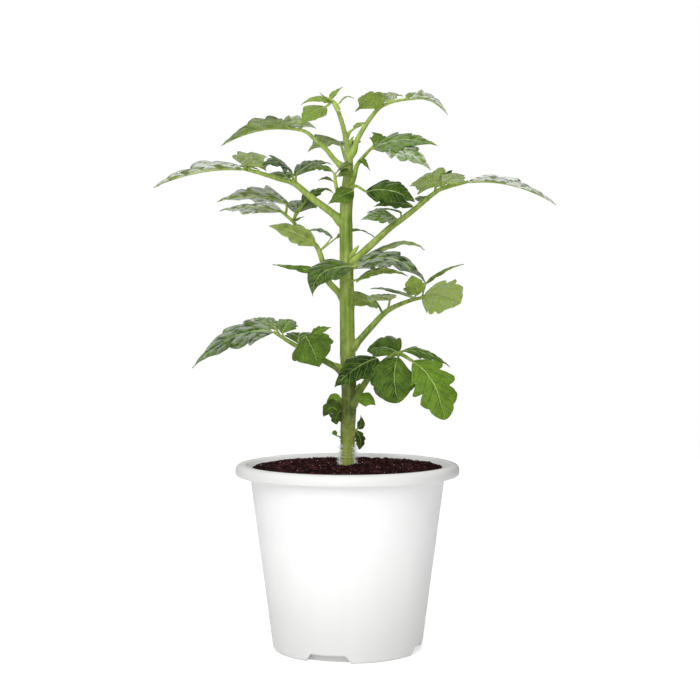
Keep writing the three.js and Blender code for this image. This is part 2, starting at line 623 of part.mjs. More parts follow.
function pot() {
  const outside = solid(lathe(potOutline(), POT_SEGMENTS));
  const room = solid(lathe(potRoom(), POT_SEGMENTS));
  let whole = outside.subtract(room);
  for (const angle of archAngles()) {
    whole = whole.add(archBlock(angle, WALL, ARCH_INNER_RADIUS - WALL).intersect(outside));
  }
  for (const angle of archAngles()) {
    whole = whole.subtract(archBlock(angle, 0, ARCH_INNER_RADIUS)).subtract(drainSlot(angle));
  }
  return meshOf("pot", whole, WHITE_POLYPROPYLENE);
}

// Soft uneven relief of the potting mix, larger than its grains.
function soilRelief(x, y) {
  const broad = Math.sin(x / BROAD_LUMP + 1) * Math.cos(y / BROAD_LUMP);
  const fine = Math.sin(x / FINE_LUMP) * Math.cos(y / FINE_LUMP + x / BROAD_LUMP);
  return SOIL_RELIEF * 0.5 * (broad + fine);
}

// The potting mix fills the pot, clear of its wall and of the pockets, with a hole for the stem.
function soil() {
  const pocketClear = ARCH_INNER_RADIUS - WALL - SOIL_POCKET_GAP;
  const pocketTop = ARCH_HEIGHT + WALL + CLEARANCE;
  const radiusIn = (height) => wallRadius(height) - WALL - CLEARANCE;
  const holeRadius = stemRadius(SOIL_EDGE_HEIGHT) + CLEARANCE;
  const holeFloor = STEM[0].place[2] - CLEARANCE;
  const profile = [
    [0, FLOOR + CLEARANCE],
    [pocketClear, FLOOR + CLEARANCE],
    [pocketClear, pocketTop],
    [radiusIn(pocketTop), pocketTop],
    [radiusIn(RIM_LIP_BOTTOM), RIM_LIP_BOTTOM],
    [radiusIn(RIM_LIP_BOTTOM), SOIL_EDGE_HEIGHT],
  ];
  for (let ring = 1; ring <= SOIL_RINGS; ring++) {
    const share = ring / SOIL_RINGS;
    const radius = THREE.MathUtils.lerp(radiusIn(RIM_LIP_BOTTOM), holeRadius, share);
    profile.push([radius, SOIL_EDGE_HEIGHT + SOIL_DOME * Math.sin((share * Math.PI) / 2)]);
  }
  profile.push([holeRadius, holeFloor], [0, holeFloor]);
  const geometry = lathe(profile, SOIL_SEGMENTS);
  const position = geometry.attributes.position;
  for (let i = 0; i < position.count; i++) {
    const [x, y, z] = [position.getX(i), position.getY(i), position.getZ(i)];
    if (z > SOIL_EDGE_HEIGHT + RELIEF_ABOVE) position.setZ(i, z + soilRelief(x, y));
  }
  return meshOf("soil", solid(geometry), POTTING_MIX);
}

const plant = new THREE.Group();
const cutter = stemSolid(CLEARANCE);
plant.add(mainStem(), ...LEAVES.map((one) => leaf(one, cutter)));
const tomatoPlantInPot = new THREE.Group();
tomatoPlantInPot.add(pot(), soil(), plant);

export default tomatoPlantInPot;
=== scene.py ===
"""The looks of a young tomato plant in its nursery pot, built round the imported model.

Sizes are in metres unless a name or a comment says millimetres. +Z is up, the front is towards -Y.
"""

import math
import random

import bmesh
import bpy
from bpy.props import FloatProperty, FloatVectorProperty, IntProperty, PointerProperty
from mathutils import Matrix, Vector, noise


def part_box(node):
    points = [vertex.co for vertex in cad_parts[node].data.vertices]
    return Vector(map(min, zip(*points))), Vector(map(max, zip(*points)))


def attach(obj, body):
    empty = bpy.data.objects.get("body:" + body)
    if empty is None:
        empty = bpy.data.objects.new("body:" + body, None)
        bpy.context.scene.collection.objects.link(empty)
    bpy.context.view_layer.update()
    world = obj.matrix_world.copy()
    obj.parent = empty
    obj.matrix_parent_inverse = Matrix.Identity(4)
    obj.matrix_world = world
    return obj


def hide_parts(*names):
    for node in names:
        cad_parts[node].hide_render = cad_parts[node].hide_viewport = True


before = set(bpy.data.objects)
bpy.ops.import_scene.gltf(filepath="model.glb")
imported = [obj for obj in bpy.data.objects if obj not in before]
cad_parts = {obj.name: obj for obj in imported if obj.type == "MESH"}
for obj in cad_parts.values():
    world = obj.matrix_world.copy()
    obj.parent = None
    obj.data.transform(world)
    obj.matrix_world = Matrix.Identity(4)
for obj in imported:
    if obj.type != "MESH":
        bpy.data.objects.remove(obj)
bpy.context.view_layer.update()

bl_info = {
    "name": "Potted tomato plant",
    "version": (1, 0, 0),
    "blender": (4, 5, 0),
    "location": "View3D > Sidebar > Tomato",
    "description": "Builds a young tomato plant in a white nursery pot",
    "category": "Add Mesh",
}

MM = 0.001
SEED = 27
POT_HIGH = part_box("pot")[1]


def linear(code):
    """An sRGB hex colour as linear red, green and blue."""
    parts = [int(code[i : i + 2], 16) / 255 for i in (1, 3, 5)]
    return [p / 12.92 if p <= 0.04045 else ((p + 0.055) / 1.055) ** 2.4 for p in parts]


def colour(name, description, code):
    """A colour setting whose default is an sRGB hex colour."""
    return FloatVectorProperty(
        name=name, description=description, default=linear(code), size=3, min=0, max=1, subtype="COLOR"
    )


def metres(name, description, default):
    """A length setting in metres."""
    return FloatProperty(name=name, description=description, default=default, unit="LENGTH")


def strength(name, description, default):
    """A setting that is a share or a strength."""
    return FloatProperty(name=name, description=description, default=default, min=0, subtype="FACTOR")


def watts(name, description, default):
    """The power of a lamp in watts."""
    return FloatProperty(name=name, description=description, default=default, min=0, unit="POWER")


def how_many(name, description, default):
    """How many there are of a thing."""
    return IntProperty(name=name, description=description, default=default, min=0)


class PotSettings(bpy.types.PropertyGroup):
    """Sizes and colours of the moulded pot."""

    height: metres("Height", "From the foot to the top of the rim", POT_HIGH.z)
    rim_radius: metres("Rim radius", "To the outside of the rolled rim", POT_HIGH.x)
    rim_depth: metres("Rim depth", "Height of the rolled rim's outer band", 7 * MM)
    rim_opening: metres("Opening radius", "To the inside of the rim", 63.4 * MM)
    top_radius: metres("Wall top radius", "Outside of the wall under the rim", 61 * MM)
    foot_radius: metres("Foot radius", "Outside of the wall at the foot", 46.6 * MM)
    wall: metres("Wall", "Thickness of the moulded wall", 1.3 * MM)
    # The bare plastic is greyer on the rim, partly as painted shade, and at the foot, where the coat fades
    # out as painted shade; the coat inside the rim is painted light.
    plastic: colour("Plastic", "White polypropylene of the rim and foot", "#dadbd9")
    coat: colour("Coat", "Whiter coat, thinner towards the foot", "#fcfcfc")


class SoilSettings(bpy.types.PropertyGroup):
    """Sizes and colours of the potting mix."""

    edge_height: metres("Edge height", "Height of the mix at the pot's wall", 113.2 * MM)
    dome: metres("Dome", "Rise of the mix towards the stem", 1.6 * MM)
    crumbs: how_many("Crumbs", "Loose crumbs of bark and peat", 5200)
    fibres: how_many("Fibres", "Loose fibres of coir and root", 1100)
    grains: how_many("Grains", "Pale grains of sand, most of them spread over the mix", 90)
    peat: colour("Peat", "Moist dark peat", "#0b0404")
    bark: colour("Bark", "Reddish composted bark", "#2b1113")
    red_bark: colour("Red bark", "Redder bark, in one crumb of eight", "#452022")
    coir: colour("Coir", "Dry coir fibre", "#7c4a47")
    grit: colour("Grit", "Pale sand", "#b9aaa6")
    lime: colour("Lime", "Specks of lime on the sand", "#d8cfc8")


class PlantSettings(bpy.types.PropertyGroup):
    """Sizes and colours of the stem and the leaves."""

    blade_thickness: metres("Blade thickness", "Thickness of a leaf blade", 0.35 * MM)
    quilting: strength("Quilting", "Height of the swelling between veins, in leaflet lengths", 0.017)
    hair_length: metres("Hair length", "Longest hairs on the stem and stalks", 0.9 * MM)
    hairs: how_many("Stem hairs", "Hairs on the main stem", 5200)
    # Deep and fresh green are mixed partly as painted shade in the grooves by the veins and painted
    # highlight on the swellings.
    deep: colour("Deep green", "Upper side in the shade of a vein", "#1a3008")
    fresh: colour("Fresh green", "Upper side on a swelling", "#6c8e29")
    upper_vein: colour("Upper vein", "Pale vein on the upper side", "#a3bc6c")
    under: colour("Underside", "Downy underside", "#95ab4f")
    under_vein: colour("Underside vein", "Raised vein on the underside", "#bfce84")
    young: colour("Young green", "Blades near the growing tip", "#93ad4c")
    # Pale down on the blades, mixed into their colour as a painted sheen where a blade is seen at a low
    # angle.
    silver: colour("Blade down", "Silvery down on the blades", "#dde0da")
    foot: colour("Stem foot", "Yellower skin close above the soil", "#7e8b37")
    # The old stem's darker green is partly ripening skin and partly painted shade, where the lower leaves
    # shade the stem.
    shaded_old_stem: colour("Old stem", "Ripening skin low on the stem", "#4b5e17")
    bright: colour("Full stem", "Juicy skin high on the stem", "#84993e")
    low_stalk: colour("Low stalk", "Stalks of the lower leaves", "#5b7826")
    high_stalk: colour("High stalk", "Stalks of the upper leaves", "#8fa545")
    young_skin: colour("Young skin", "Buds, and stalks near the growing tip", "#a9c45e")
    down: colour("Hair", "Fine translucent hair", "#e9eed8")
    nub: colour("Root nub", "Root nubs low on the stem", "#a9ad7c")
    fuzz: colour("Root fuzz", "White root hair at the stem's foot", "#fbfaf5")


class StageSettings(bpy.types.PropertyGroup):
    """The floor, the lights and the camera."""

    distance: metres("Distance", "From the stem to the camera", 913 * MM)
    eye_height: metres("Eye height", "Height of the camera above the floor", 212 * MM)
    offset: metres("Offset", "Of the camera to the right of the stem", 1.6 * MM)
    pitch: FloatProperty(
        name="Pitch",
        description="How far the camera looks down",
        default=math.radians(1.6),
        unit="ROTATION",
    )
    lens: FloatProperty(name="Lens", description="Focal length in millimetres", default=75.14, min=1)
    floor: colour("Floor", "Plain pale floor", "#fbfbfb")
    key_power: watts("Key light", "Large box high in front", 6)
    fill_power: watts("Fill light", "Small box close in front, on the pot", 1.35)
    lift_power: watts("Lift light", "Low box in front, on the undersides of the leaves", 1)
    back_power: watts("Back light", "Large box high at the back", 8)
    sky: strength("Surround", "Strength of the white surround", 0.335)
    slope: strength("Slope", "How much brighter the surround is above and in front", 0.3)
    glow: strength("Table light", "Strength of the lit floor", 0.36)
    bounce: strength("Bounce", "Share of the floor's light that is thrown back", 0.68)
    floor_radius: metres("Floor radius", "Of the round floor", 1.2)


class TomatoSettings(bpy.types.PropertyGroup):
    """All the settings of the potted plant."""

    pot: PointerProperty(type=PotSettings)
    soil: PointerProperty(type=SoilSettings)
    plant: PointerProperty(type=PlantSettings)
    stage: PointerProperty(type=StageSettings)


def add_node(tree, kind, settings=None, inputs=None):
    """Adds a shader node, sets its properties, sets or links its inputs, and gives back its
    outputs."""
    node = tree.nodes.new("ShaderNode" + kind)
    for key, value in (settings or {}).items():
        setattr(node, key, value)
    for key, value in (inputs or {}).items():
        if isinstance(value, bpy.types.NodeSocket):
            tree.links.new(value, node.inputs[key])
        else:
            node.inputs[key].default_value = value
    return node.outputs


def new_material(name):
    """An empty node material and its tree."""
    material = bpy.data.materials.new(name)
    material.use_nodes = True
    material.node_tree.nodes.clear()
    return material, material.node_tree


def finish_material(tree, inputs):
    """Ends a tree in a Principled shader with these inputs."""
    shader = add_node(tree, "BsdfPrincipled", None, inputs)
    add_node(tree, "OutputMaterial", None, {"Surface": shader[0]})


def rgba(values):
    """A colour with full alpha."""
    return [*values, 1.0]


def between(value, low, high, least=0, most=1):
    """Inputs that map a value from low to high onto least to most."""
    return {"Value": value, "From Min": low, "From Max": high, "To Min": least, "To Max": most}


# Settings of the nodes that come often.
FLAT = {"noise_dimensions": "2D"}
COLOUR = {"data_type": "RGBA"}
DARKEN = {"data_type": "RGBA", "blend_type": "MULTIPLY"}
LIGHTEN = {"data_type": "RGBA", "blend_type": "SCREEN"}
STEP = {"interpolation_type": "SMOOTHSTEP"}
TIMES = {"operation": "MULTIPLY"}
TIMES_PLUS = {"operation": "MULTIPLY_ADD"}
MINUS = {"operation": "SUBTRACT"}
LARGER = {"operation": "MAXIMUM"}
UNSIGNED = {"operation": "ABSOLUTE"}

# The veins of a blade, in leaflet lengths: side veins leave the midrib at an even spacing, rake
# forward and bend towards the tip. Those of the left half start a little later.
VEIN_SPACING = 0.19
VEIN_FIRST = 0.058
VEIN_RAKE = 0.84
VEIN_BEND = 1.6
VEIN_LATER = 0.05
VEIN_WANDER = 0.045
WANDERS_A_LENGTH = 6
# The painted midrib narrows evenly, to end a little past the tip.
MIDRIB_END = 1.1
# How far from a vein's middle it starts to show and is full: the midrib in what is left of the
# blade's length, the side veins in spacings, and the network in cells. Then how pale each gets.
MIDRIB_EDGE = (0.017, 0.005)
SIDE_EDGE = (0.06, 0.015)
NETWORK_EDGE = (0.13, 0.02)
MIDRIB_PALE = 0.8
SIDE_PALE = 0.32
NETWORK_PALE = 0.06

# Sizes of the patterns on a blade: the network's cells, patches of green, and grain. The real
# cells and grain are finer, and too fine to show.
NETWORK_CELL = 3.03 * MM
GREEN_PATCH = 5.88 * MM
BLADE_GRAIN = 1.667 * MM
GRAIN_RELIEF = 0.1
# Streaks of down in a leaflet's length, along it and across it.
DOWN_STREAKS = (6, 17, 1)
# Where streaks of down thin out and are thick, and how much is left where they are thin.
DOWN_EDGE = (0.4, 0.54)
THINNEST_DOWN = 0.1
# How much a swelling lightens the green, a painted highlight with painted shade in the grooves by the
# veins, and how much more down lies on it.
PAINTED_SWELL_LIGHT = 0.3
SWELL_DOWN = 0.12
# Facing runs from 0, seen square on, to 1, seen edge on. These are where an even coat of down with its
# painted sheen starts and is full, where fine detail is lost and is clear, and where the down's painted
# sheen starts and is full.
EVEN_SHEEN_SEEN = (0.58, 0.84)
DETAIL_SEEN = (0.85, 0.4)
SHEEN_SEEN = (0.15, 0.5)
# How even the down's painted sheen gets at a low angle, how much of it every blade has there, and the
# least sheen.
EVEN_SHEEN = 0.65
COMMON_SHEEN = 0.5
LEAST_SHEEN = 0.25


def vein_masks(tree, chart, place):
    """Midrib, side vein and network masks. The first two come from the blade's own map, which is in
    leaflet lengths, and the network from the place in metres."""
    wander = add_node(
        tree, "TexNoise", FLAT, {"Vector": chart, "Scale": WANDERS_A_LENGTH, "Detail": 2}
    )["Color"]
    step = (VEIN_WANDER, VEIN_WANDER, 0)
    warped = add_node(tree, "VectorMath", TIMES_PLUS, {0: wander, 1: step, 2: chart})[0]
    along, across, _ = add_node(tree, "SeparateXYZ", None, {0: warped})
    signed = add_node(tree, "Math", MINUS, {0: across, 1: 0.5 + VEIN_WANDER / 2})[0]
    out = add_node(tree, "Math", UNSIGNED, {0: signed})[0]
    left = add_node(tree, "Math", {"operation": "LESS_THAN"}, {0: signed, 1: 0})[0]
    start = add_node(tree, "Math", TIMES_PLUS, {0: left, 1: VEIN_LATER, 2: along})[0]
    slope = add_node(tree, "Math", TIMES_PLUS, {0: out, 1: VEIN_BEND, 2: VEIN_RAKE})[0]
    rake = add_node(tree, "Math", TIMES, {0: out, 1: slope})[0]
    reach = add_node(tree, "Math", MINUS, {0: start, 1: rake})[0]
    first = 0.5 - (VEIN_FIRST + VEIN_WANDER / 2) / VEIN_SPACING
    turn = add_node(tree, "Math", TIMES_PLUS, {0: reach, 1: 1 / VEIN_SPACING, 2: first})[0]
    within = add_node(tree, "Math", {"operation": "FRACT"}, {0: turn})[0]
    centred = add_node(tree, "Math", MINUS, {0: within, 1: 0.5})[0]
    gap = add_node(tree, "Math", UNSIGNED, {0: centred})[0]
    left_over = add_node(tree, "Math", MINUS, {0: MIDRIB_END, 1: along})[0]
    narrowed = add_node(tree, "Math", {"operation": "DIVIDE"}, {0: out, 1: left_over})[0]
    midrib = add_node(tree, "MapRange", STEP, between(narrowed, *MIDRIB_EDGE, 0, MIDRIB_PALE))[0]
    side = add_node(tree, "MapRange", STEP, between(gap, *SIDE_EDGE))[0]
    edges = {"feature": "DISTANCE_TO_EDGE"}
    cells = add_node(tree, "TexVoronoi", edges, {"Vector": place, "Scale": 1 / NETWORK_CELL})[0]
    network = add_node(tree, "MapRange", STEP, between(cells, *NETWORK_EDGE))[0]
    return midrib, side, network


def down_sheen_share(tree, chart, facing, swell, pale):
    """How much of a blade is hidden by down and its painted sheen. It lies in streaks along the blade,
    thickest on the swellings. At a low angle every blade shows some as painted sheen, and one that is pale
    with it shows more."""
    drawn = add_node(tree, "Mapping", None, {"Vector": chart, "Scale": DOWN_STREAKS})[0]
    streaks = add_node(tree, "TexNoise", FLAT, {"Vector": drawn, "Scale": 1, "Detail": 1})[0]
    piled = add_node(tree, "Math", TIMES_PLUS, {0: swell, 1: SWELL_DOWN, 2: streaks})[0]
    strewn = add_node(tree, "MapRange", STEP, between(piled, *DOWN_EDGE, THINNEST_DOWN))[0]
    low = add_node(tree, "MapRange", STEP, between(facing, *EVEN_SHEEN_SEEN))[0]
    even = add_node(tree, "Math", TIMES, {0: low, 1: EVEN_SHEEN})[0]
    spread = add_node(tree, "Math", LARGER, {0: strewn, 1: even})[0]
    common = add_node(tree, "Math", TIMES, {0: low, 1: COMMON_SHEEN})[0]
    # Seen from straight above, little of the down's sheen is left.
    sheen = add_node(tree, "MapRange", STEP, between(facing, *SHEEN_SEEN, LEAST_SHEEN))[0]
    thick = add_node(tree, "Math", TIMES, {0: pale, 1: sheen})[0]
    laid = add_node(tree, "Math", LARGER, {0: common, 1: thick})[0]
    return add_node(tree, "Math", TIMES, {0: laid, 1: spread})[0]


def blade_material(name, deep, fresh, mottling, vein, raised, plant, down):
    """Leaf blade: mottled green with paler veins, sunk above and raised below. The green is lighter on the
    swellings as a painted highlight. Fine down turns it silvery where it is seen at a low angle, a sheen
    that is painted into the colour."""
    material, tree = new_material(name)
    chart = add_node(tree, "UVMap", {"uv_map": "chart"})[0]
    place = add_node(tree, "TexCoord")["Object"]
    midrib, side, network = vein_masks(tree, chart, place)
    # Each leaflet's lightness is partly its own tone and partly painted light and shade, darker for
    # leaflets that lie in shade.
    tint, youth, swell, pale = [
        add_node(tree, "Attribute", {"attribute_name": layer})["Fac"]
        for layer in ("tint", "youth", "swell", "silver")
    ]
    patches = add_node(
        tree, "TexNoise", None, {"Vector": place, "Scale": 1 / GREEN_PATCH, "Detail": 1}
    )[0]
    grain = add_node(tree, "TexNoise", None, {"Vector": place, "Scale": 1 / BLADE_GRAIN, "Detail": 1})[0]
    mottled = add_node(tree, "Math", TIMES_PLUS, {0: patches, 1: mottling, 2: tint})[0]
    # Painted light: swellings are lighter and the grooves by the veins darker, on top of the random
    # patches and each leaflet's own lightness.
    lit = add_node(
        tree, "Math", {**TIMES_PLUS, "use_clamp": True}, {0: swell, 1: PAINTED_SWELL_LIGHT, 2: mottled}
    )[0]
    green = add_node(tree, "Mix", COLOUR, {0: lit, 6: rgba(deep), 7: rgba(fresh)})[2]
    aged = add_node(tree, "Mix", COLOUR, {0: youth, 6: green, 7: rgba(plant.young)})[2]
    facing = add_node(tree, "LayerWeight", None, {"Blend": 0.5})["Facing"]
    # What is fine fades where the blade is seen at a low angle.
    clear = add_node(tree, "MapRange", STEP, between(facing, *DETAIL_SEEN))[0]
    open_net = add_node(tree, "Math", TIMES, {0: network, 1: clear})[0]
    fine = add_node(tree, "Math", TIMES, {0: open_net, 1: NETWORK_PALE})[0]
    broad = add_node(tree, "Math", TIMES, {0: side, 1: SIDE_PALE})[0]
    both = add_node(tree, "Math", LARGER, {0: fine, 1: broad})[0]
    veins = add_node(tree, "Math", LARGER, {0: both, 1: midrib})[0]
    veined = add_node(tree, "Mix", COLOUR, {0: veins, 6: aged, 7: rgba(vein)})[2]
    ribs = add_node(tree, "Math", LARGER, {0: broad, 1: midrib})[0]
    grainy = add_node(tree, "Math", TIMES, {0: grain, 1: GRAIN_RELIEF})[0]
    rough = add_node(tree, "Math", TIMES_PLUS, {0: ribs, 1: raised, 2: grainy})[0]
    relief = add_node(tree, "Math", TIMES, {0: rough, 1: clear})[0]
    bump = add_node(tree, "Bump", None, {"Height": relief, "Strength": 0.4, "Distance": 0.35 * MM})[0]
    # Painted sheen: pale down mixed into the colour, most where the blade is seen at a low angle.
    silver = down_sheen_share(tree, chart, facing, swell, pale)
    down_and_sheen = add_node(tree, "Math", TIMES, {0: silver, 1: down})[0]
    coat = add_node(tree, "Mix", COLOUR, {0: down_and_sheen, 6: veined, 7: rgba(plant.silver)})[2]
    finish_material(
        tree,
        {
            "Base Color": coat,
            "Roughness": 0.58,
            "IOR": 1.42,
            "Specular IOR Level": 0.1,
            "Subsurface Weight": 0.2,
            "Subsurface Radius": (0.6, 1.0, 0.2),
            "Subsurface Scale": 0.8 * MM,
            "Normal": bump,
        },
    )
    return material


# Patterns on the skin of a stem or stalk: streaks up it, clouds, and spots.
STREAK_WIDTH = 2.381 * MM
STREAK_LENGTH = 34 * MM
SKIN_CLOUD = 7.69 * MM
SKIN_SPOT = 0.4545 * MM
STREAK_EDGE = (0.35, 0.65)
CLOUD_EDGE = (0.35, 0.7)
SPOT_RELIEF = 0.5
STREAK_SHADE = (0.46, 0.58, 0.26, 1)
CLOUD_LIGHT = (0.14, 0.14, 0.05, 1)
# The yellower foot of the stem: the heights where it starts and is full.
FOOT_FADE = (150 * MM, 128 * MM)
# Brown scars in broken rings, from 2 to 9 mm above the soil: the heights where they start and are
# full from below and from above, and how much of each ring is left.
SCAR_SPACING = 1.9635 * MM
SCARS_FROM = (117 * MM, 119 * MM)
SCARS_TO = (124 * MM, 122 * MM)
SCAR_EDGE = (0.72, 0.9)
SCAR_SHADE = (0.42, 0.4, 0.3, 1)
# A wave texture turns by this many radians over a length of one at a scale of one.
WAVE_TURN = 20


def scar_share(tree, place, height):
    """How much of the skin is scarred."""
    scale = math.tau / (WAVE_TURN * SCAR_SPACING)
    rings = add_node(
        tree,
        "TexWave",
        {"bands_direction": "Z"},
        {"Vector": place, "Scale": scale, "Distortion": 3, "Detail": 2, "Detail Scale": 1.5},
    )["Fac"]
    worn = add_node(tree, "MapRange", STEP, between(rings, *SCAR_EDGE))[0]
    above = add_node(tree, "MapRange", STEP, between(height, *SCARS_FROM))[0]
    under = add_node(tree, "MapRange", STEP, between(height, *SCARS_TO))[0]
    band = add_node(tree, "Math", TIMES, {0: above, 1: under})[0]
    return add_node(tree, "Math", TIMES, {0: worn, 1: band})[0]


def stalk_material(name, low_colour, high_colour, low, high, plant):
    """Juicy ribbed skin of a stem or stalk, from older below to younger above, under fine hair."""
    material, tree = new_material(name)
    place = add_node(tree, "TexCoord")["Object"]
    height = add_node(tree, "SeparateXYZ", None, {0: place})[2]
    youth = add_node(tree, "Attribute", {"attribute_name": "youth"})["Fac"]
    stretch = (1, 1, STREAK_WIDTH / STREAK_LENGTH)
    stretched = add_node(tree, "Mapping", None, {"Vector": place, "Scale": stretch})[0]
    streaks, clouds, spots = [
        add_node(tree, "TexNoise", None, {"Vector": way, "Scale": 1 / size, "Detail": detail})[0]
        for way, size, detail in (
            (stretched, STREAK_WIDTH, 3),
            (place, SKIN_CLOUD, 2),
            (place, SKIN_SPOT, 1),
        )
    ]
    risen = add_node(tree, "MapRange", STEP, between(height, low, high))[0]
    grown = add_node(tree, "Mix", COLOUR, {0: risen, 6: rgba(low_colour), 7: rgba(high_colour)})[2]
    foot = add_node(tree, "MapRange", STEP, between(height, *FOOT_FADE))[0]
    skin = add_node(tree, "Mix", COLOUR, {0: foot, 6: grown, 7: rgba(plant.foot)})[2]
    streaked = add_node(tree, "MapRange", None, between(streaks, *STREAK_EDGE))[0]
    dark = add_node(tree, "Mix", DARKEN, {0: streaked, 6: skin, 7: STREAK_SHADE})[2]
    scars = scar_share(tree, place, height)
    scarred = add_node(tree, "Mix", DARKEN, {0: scars, 6: dark, 7: SCAR_SHADE})[2]
    cloudy = add_node(tree, "MapRange", None, between(clouds, *CLOUD_EDGE))[0]
    light = add_node(tree, "Mix", LIGHTEN, {0: cloudy, 6: scarred, 7: CLOUD_LIGHT})[2]
    fresh = add_node(tree, "Mix", COLOUR, {0: youth, 6: light, 7: rgba(plant.young_skin)})[2]
    relief = add_node(tree, "Math", TIMES_PLUS, {0: spots, 1: SPOT_RELIEF, 2: streaks})[0]
    bump = add_node(tree, "Bump", None, {"Height": relief, "Strength": 0.5, "Distance": 0.3 * MM})[0]
    finish_material(
        tree,
        {
            "Base Color": fresh,
            "Roughness": 0.42,
            "IOR": 1.42,
            "Subsurface Weight": 0.25,
            "Subsurface Radius": (0.7, 1.0, 0.3),
            "Subsurface Scale": 2 * MM,
            "Specular IOR Level": 0.3,
            "Sheen Weight": 0.12,
            "Sheen Roughness": 0.4,
            "Sheen Tint": (0.95, 1.0, 0.85, 1.0),
            "Normal": bump,
        },
    )
    return material


# Patches of darker hair, and the share of each colour that is left in them: on a stem, and in
# root fuzz, which is whiter.
HAIR_PATCH = 3.33 * MM
HAIR_SHADE = (0.75, 0.85, 0.6)
FUZZ_SHADE = (0.85, 0.85, 0.8)


def hair_material(name, base, shade=HAIR_SHADE):
    """Clear hair of a stem: pale where it catches the light, in patches of a darker shade."""
    material, tree = new_material(name)
    place = add_node(tree, "TexCoord")["Object"]
    patches = add_node(tree, "TexNoise", None, {"Vector": place, "Scale": 1 / HAIR_PATCH})[0]
    darker = [value * part for value, part in zip(base, shade)]
    tone = add_node(tree, "Mix", COLOUR, {0: patches, 6: rgba(darker), 7: rgba(base)})[2]
    finish_material(
        tree, {"Base Color": tone, "Roughness": 0.5, "Subsurface Weight": 0.3, "Subsurface Scale": MM}
    )
    return material


# Flow marks run up the pot's wall and dull it a little, and its skin has an orange peel.
FLOW_SPACING = 20 * MM
FLOW_LENGTH = 133.3 * MM
ORANGE_PEEL = 1.111 * MM
FLOW_EDGE = (0.35, 2.6)
FLOW_ROUGHNESS = (0.3, 0.42)
FLOW_SHADE = (0.6, 0.61, 0.6, 1)
# The height up to which the coat gets whiter, which paints shade that darkens the wall towards the
# foot, how far under the lip it is bare, and how far past the opening it reaches over the rim, which
# paints light on the inside of the rim: where it starts and where it is full.
FOOT_SHADE_HEIGHT = 85 * MM
BARE_UNDER_LIP = (0.4 * MM, 0.9 * MM)
INNER_LIGHT_PAST_OPENING = (0.9 * MM, 0.3 * MM)


def plastic_material(name, base, coat, lip, opening):
    """Injection-moulded polypropylene: satin white, a little translucent, with faint flow marks.
    The wall below the lip and the inside of the rim have a whiter coat. Its fading towards the foot is
    painted shade, and its reach over the inside of the rim is painted light."""
    material, tree = new_material(name)
    place = add_node(tree, "TexCoord")["Object"]
    stretch = (1, 1, FLOW_SPACING / FLOW_LENGTH)
    flow = add_node(tree, "Mapping", None, {"Vector": place, "Scale": stretch})[0]
    marks = add_node(tree, "TexNoise", None, {"Vector": flow, "Scale": 1 / FLOW_SPACING, "Detail": 2})[0]
    peel = add_node(tree, "TexNoise", None, {"Vector": place, "Scale": 1 / ORANGE_PEEL, "Detail": 1})[0]
    height = add_node(tree, "SeparateXYZ", None, {0: place})[2]
    under = [lip - gap for gap in BARE_UNDER_LIP]
    below = add_node(tree, "MapRange", STEP, between(height, *under))[0]
    # Painted shade: the coat fades out towards the foot, so the wall is darker towards the bottom.
    foot_shade_fade = add_node(tree, "MapRange", STEP, between(height, 0, FOOT_SHADE_HEIGHT))[0]
    flat = add_node(tree, "VectorMath", TIMES, {0: place, 1: (1, 1, 0)})[0]
    radius = add_node(tree, "VectorMath", {"operation": "LENGTH"}, {0: flat})["Value"]
    # Painted light: the coat reaches over the inside of the rim to make it whiter.
    edge = [opening + gap for gap in INNER_LIGHT_PAST_OPENING]
    inside = add_node(tree, "MapRange", STEP, between(radius, *edge))[0]
    coat_light_and_shade = add_node(tree, "Mix", None, {0: below, 2: inside, 3: foot_shade_fade})[0]
    # Where the coat is left off the greyer plastic shows; on the rim that grey is partly painted shade.
    white = add_node(tree, "Mix", COLOUR, {0: coat_light_and_shade, 6: rgba(base), 7: rgba(coat)})[2]
    dull = add_node(tree, "MapRange", None, between(marks, *FLOW_EDGE))[0]
    shade = add_node(tree, "Mix", COLOUR, {0: dull, 6: white, 7: FLOW_SHADE})[2]
    rough = add_node(tree, "MapRange", None, between(marks, 0, 1, *FLOW_ROUGHNESS))[0]
    bump = add_node(tree, "Bump", None, {"Height": peel, "Strength": 0.12, "Distance": 0.1 * MM})[0]
    finish_material(
        tree,
        {
            "Base Color": shade,
            "Roughness": rough,
            "IOR": 1.49,
            "Subsurface Weight": 0.8,
            "Subsurface Radius": (1.0, 1.0, 1.0),
            "Subsurface Scale": 2.5 * MM,
            "Normal": bump,
        },
    )
    return material


# A cloud of light grains is this many grains wide, and grains are lit between these chances.
CLOUD_GRAINS = 2.5
LIT_GRAINS = (0.12, 0.55)


def mix_material(name, dark, light, grain, depth):
    """Crumbly potting mix, crumbs or fibres: rough and matt, in two colours, with grains of this
    size and pits of this depth between them."""
    material, tree = new_material(name)
    place = add_node(tree, "TexCoord")["Object"]
    grains = add_node(tree, "TexVoronoi", None, {"Vector": place, "Scale": 1 / grain})
    cloud = add_node(
        tree, "TexNoise", None, {"Vector": place, "Scale": 1 / (CLOUD_GRAINS * grain), "Detail": 4}
    )[0]
    chance = add_node(tree, "SeparateColor", None, {0: grains["Color"]})[0]
    clouded = add_node(tree, "Math", TIMES, {0: chance, 1: cloud})[0]
    lit = add_node(tree, "MapRange", STEP, between(clouded, *LIT_GRAINS))[0]
    shade = add_node(tree, "Mix", COLOUR, {0: lit, 6: rgba(dark), 7: rgba(light)})[2]
    height = add_node(tree, "Math", {"operation": "ADD"}, {0: grains["Distance"], 1: cloud})[0]
    bump = add_node(tree, "Bump", None, {"Height": height, "Strength": 0.8, "Distance": depth})[0]
    finish_material(
        tree, {"Base Color": shade, "Roughness": 0.9, "Specular IOR Level": 0.06, "Normal": bump}
    )
    return material


# Edges sharper than this stay crisp.
CRISP_ANGLE = math.radians(55)


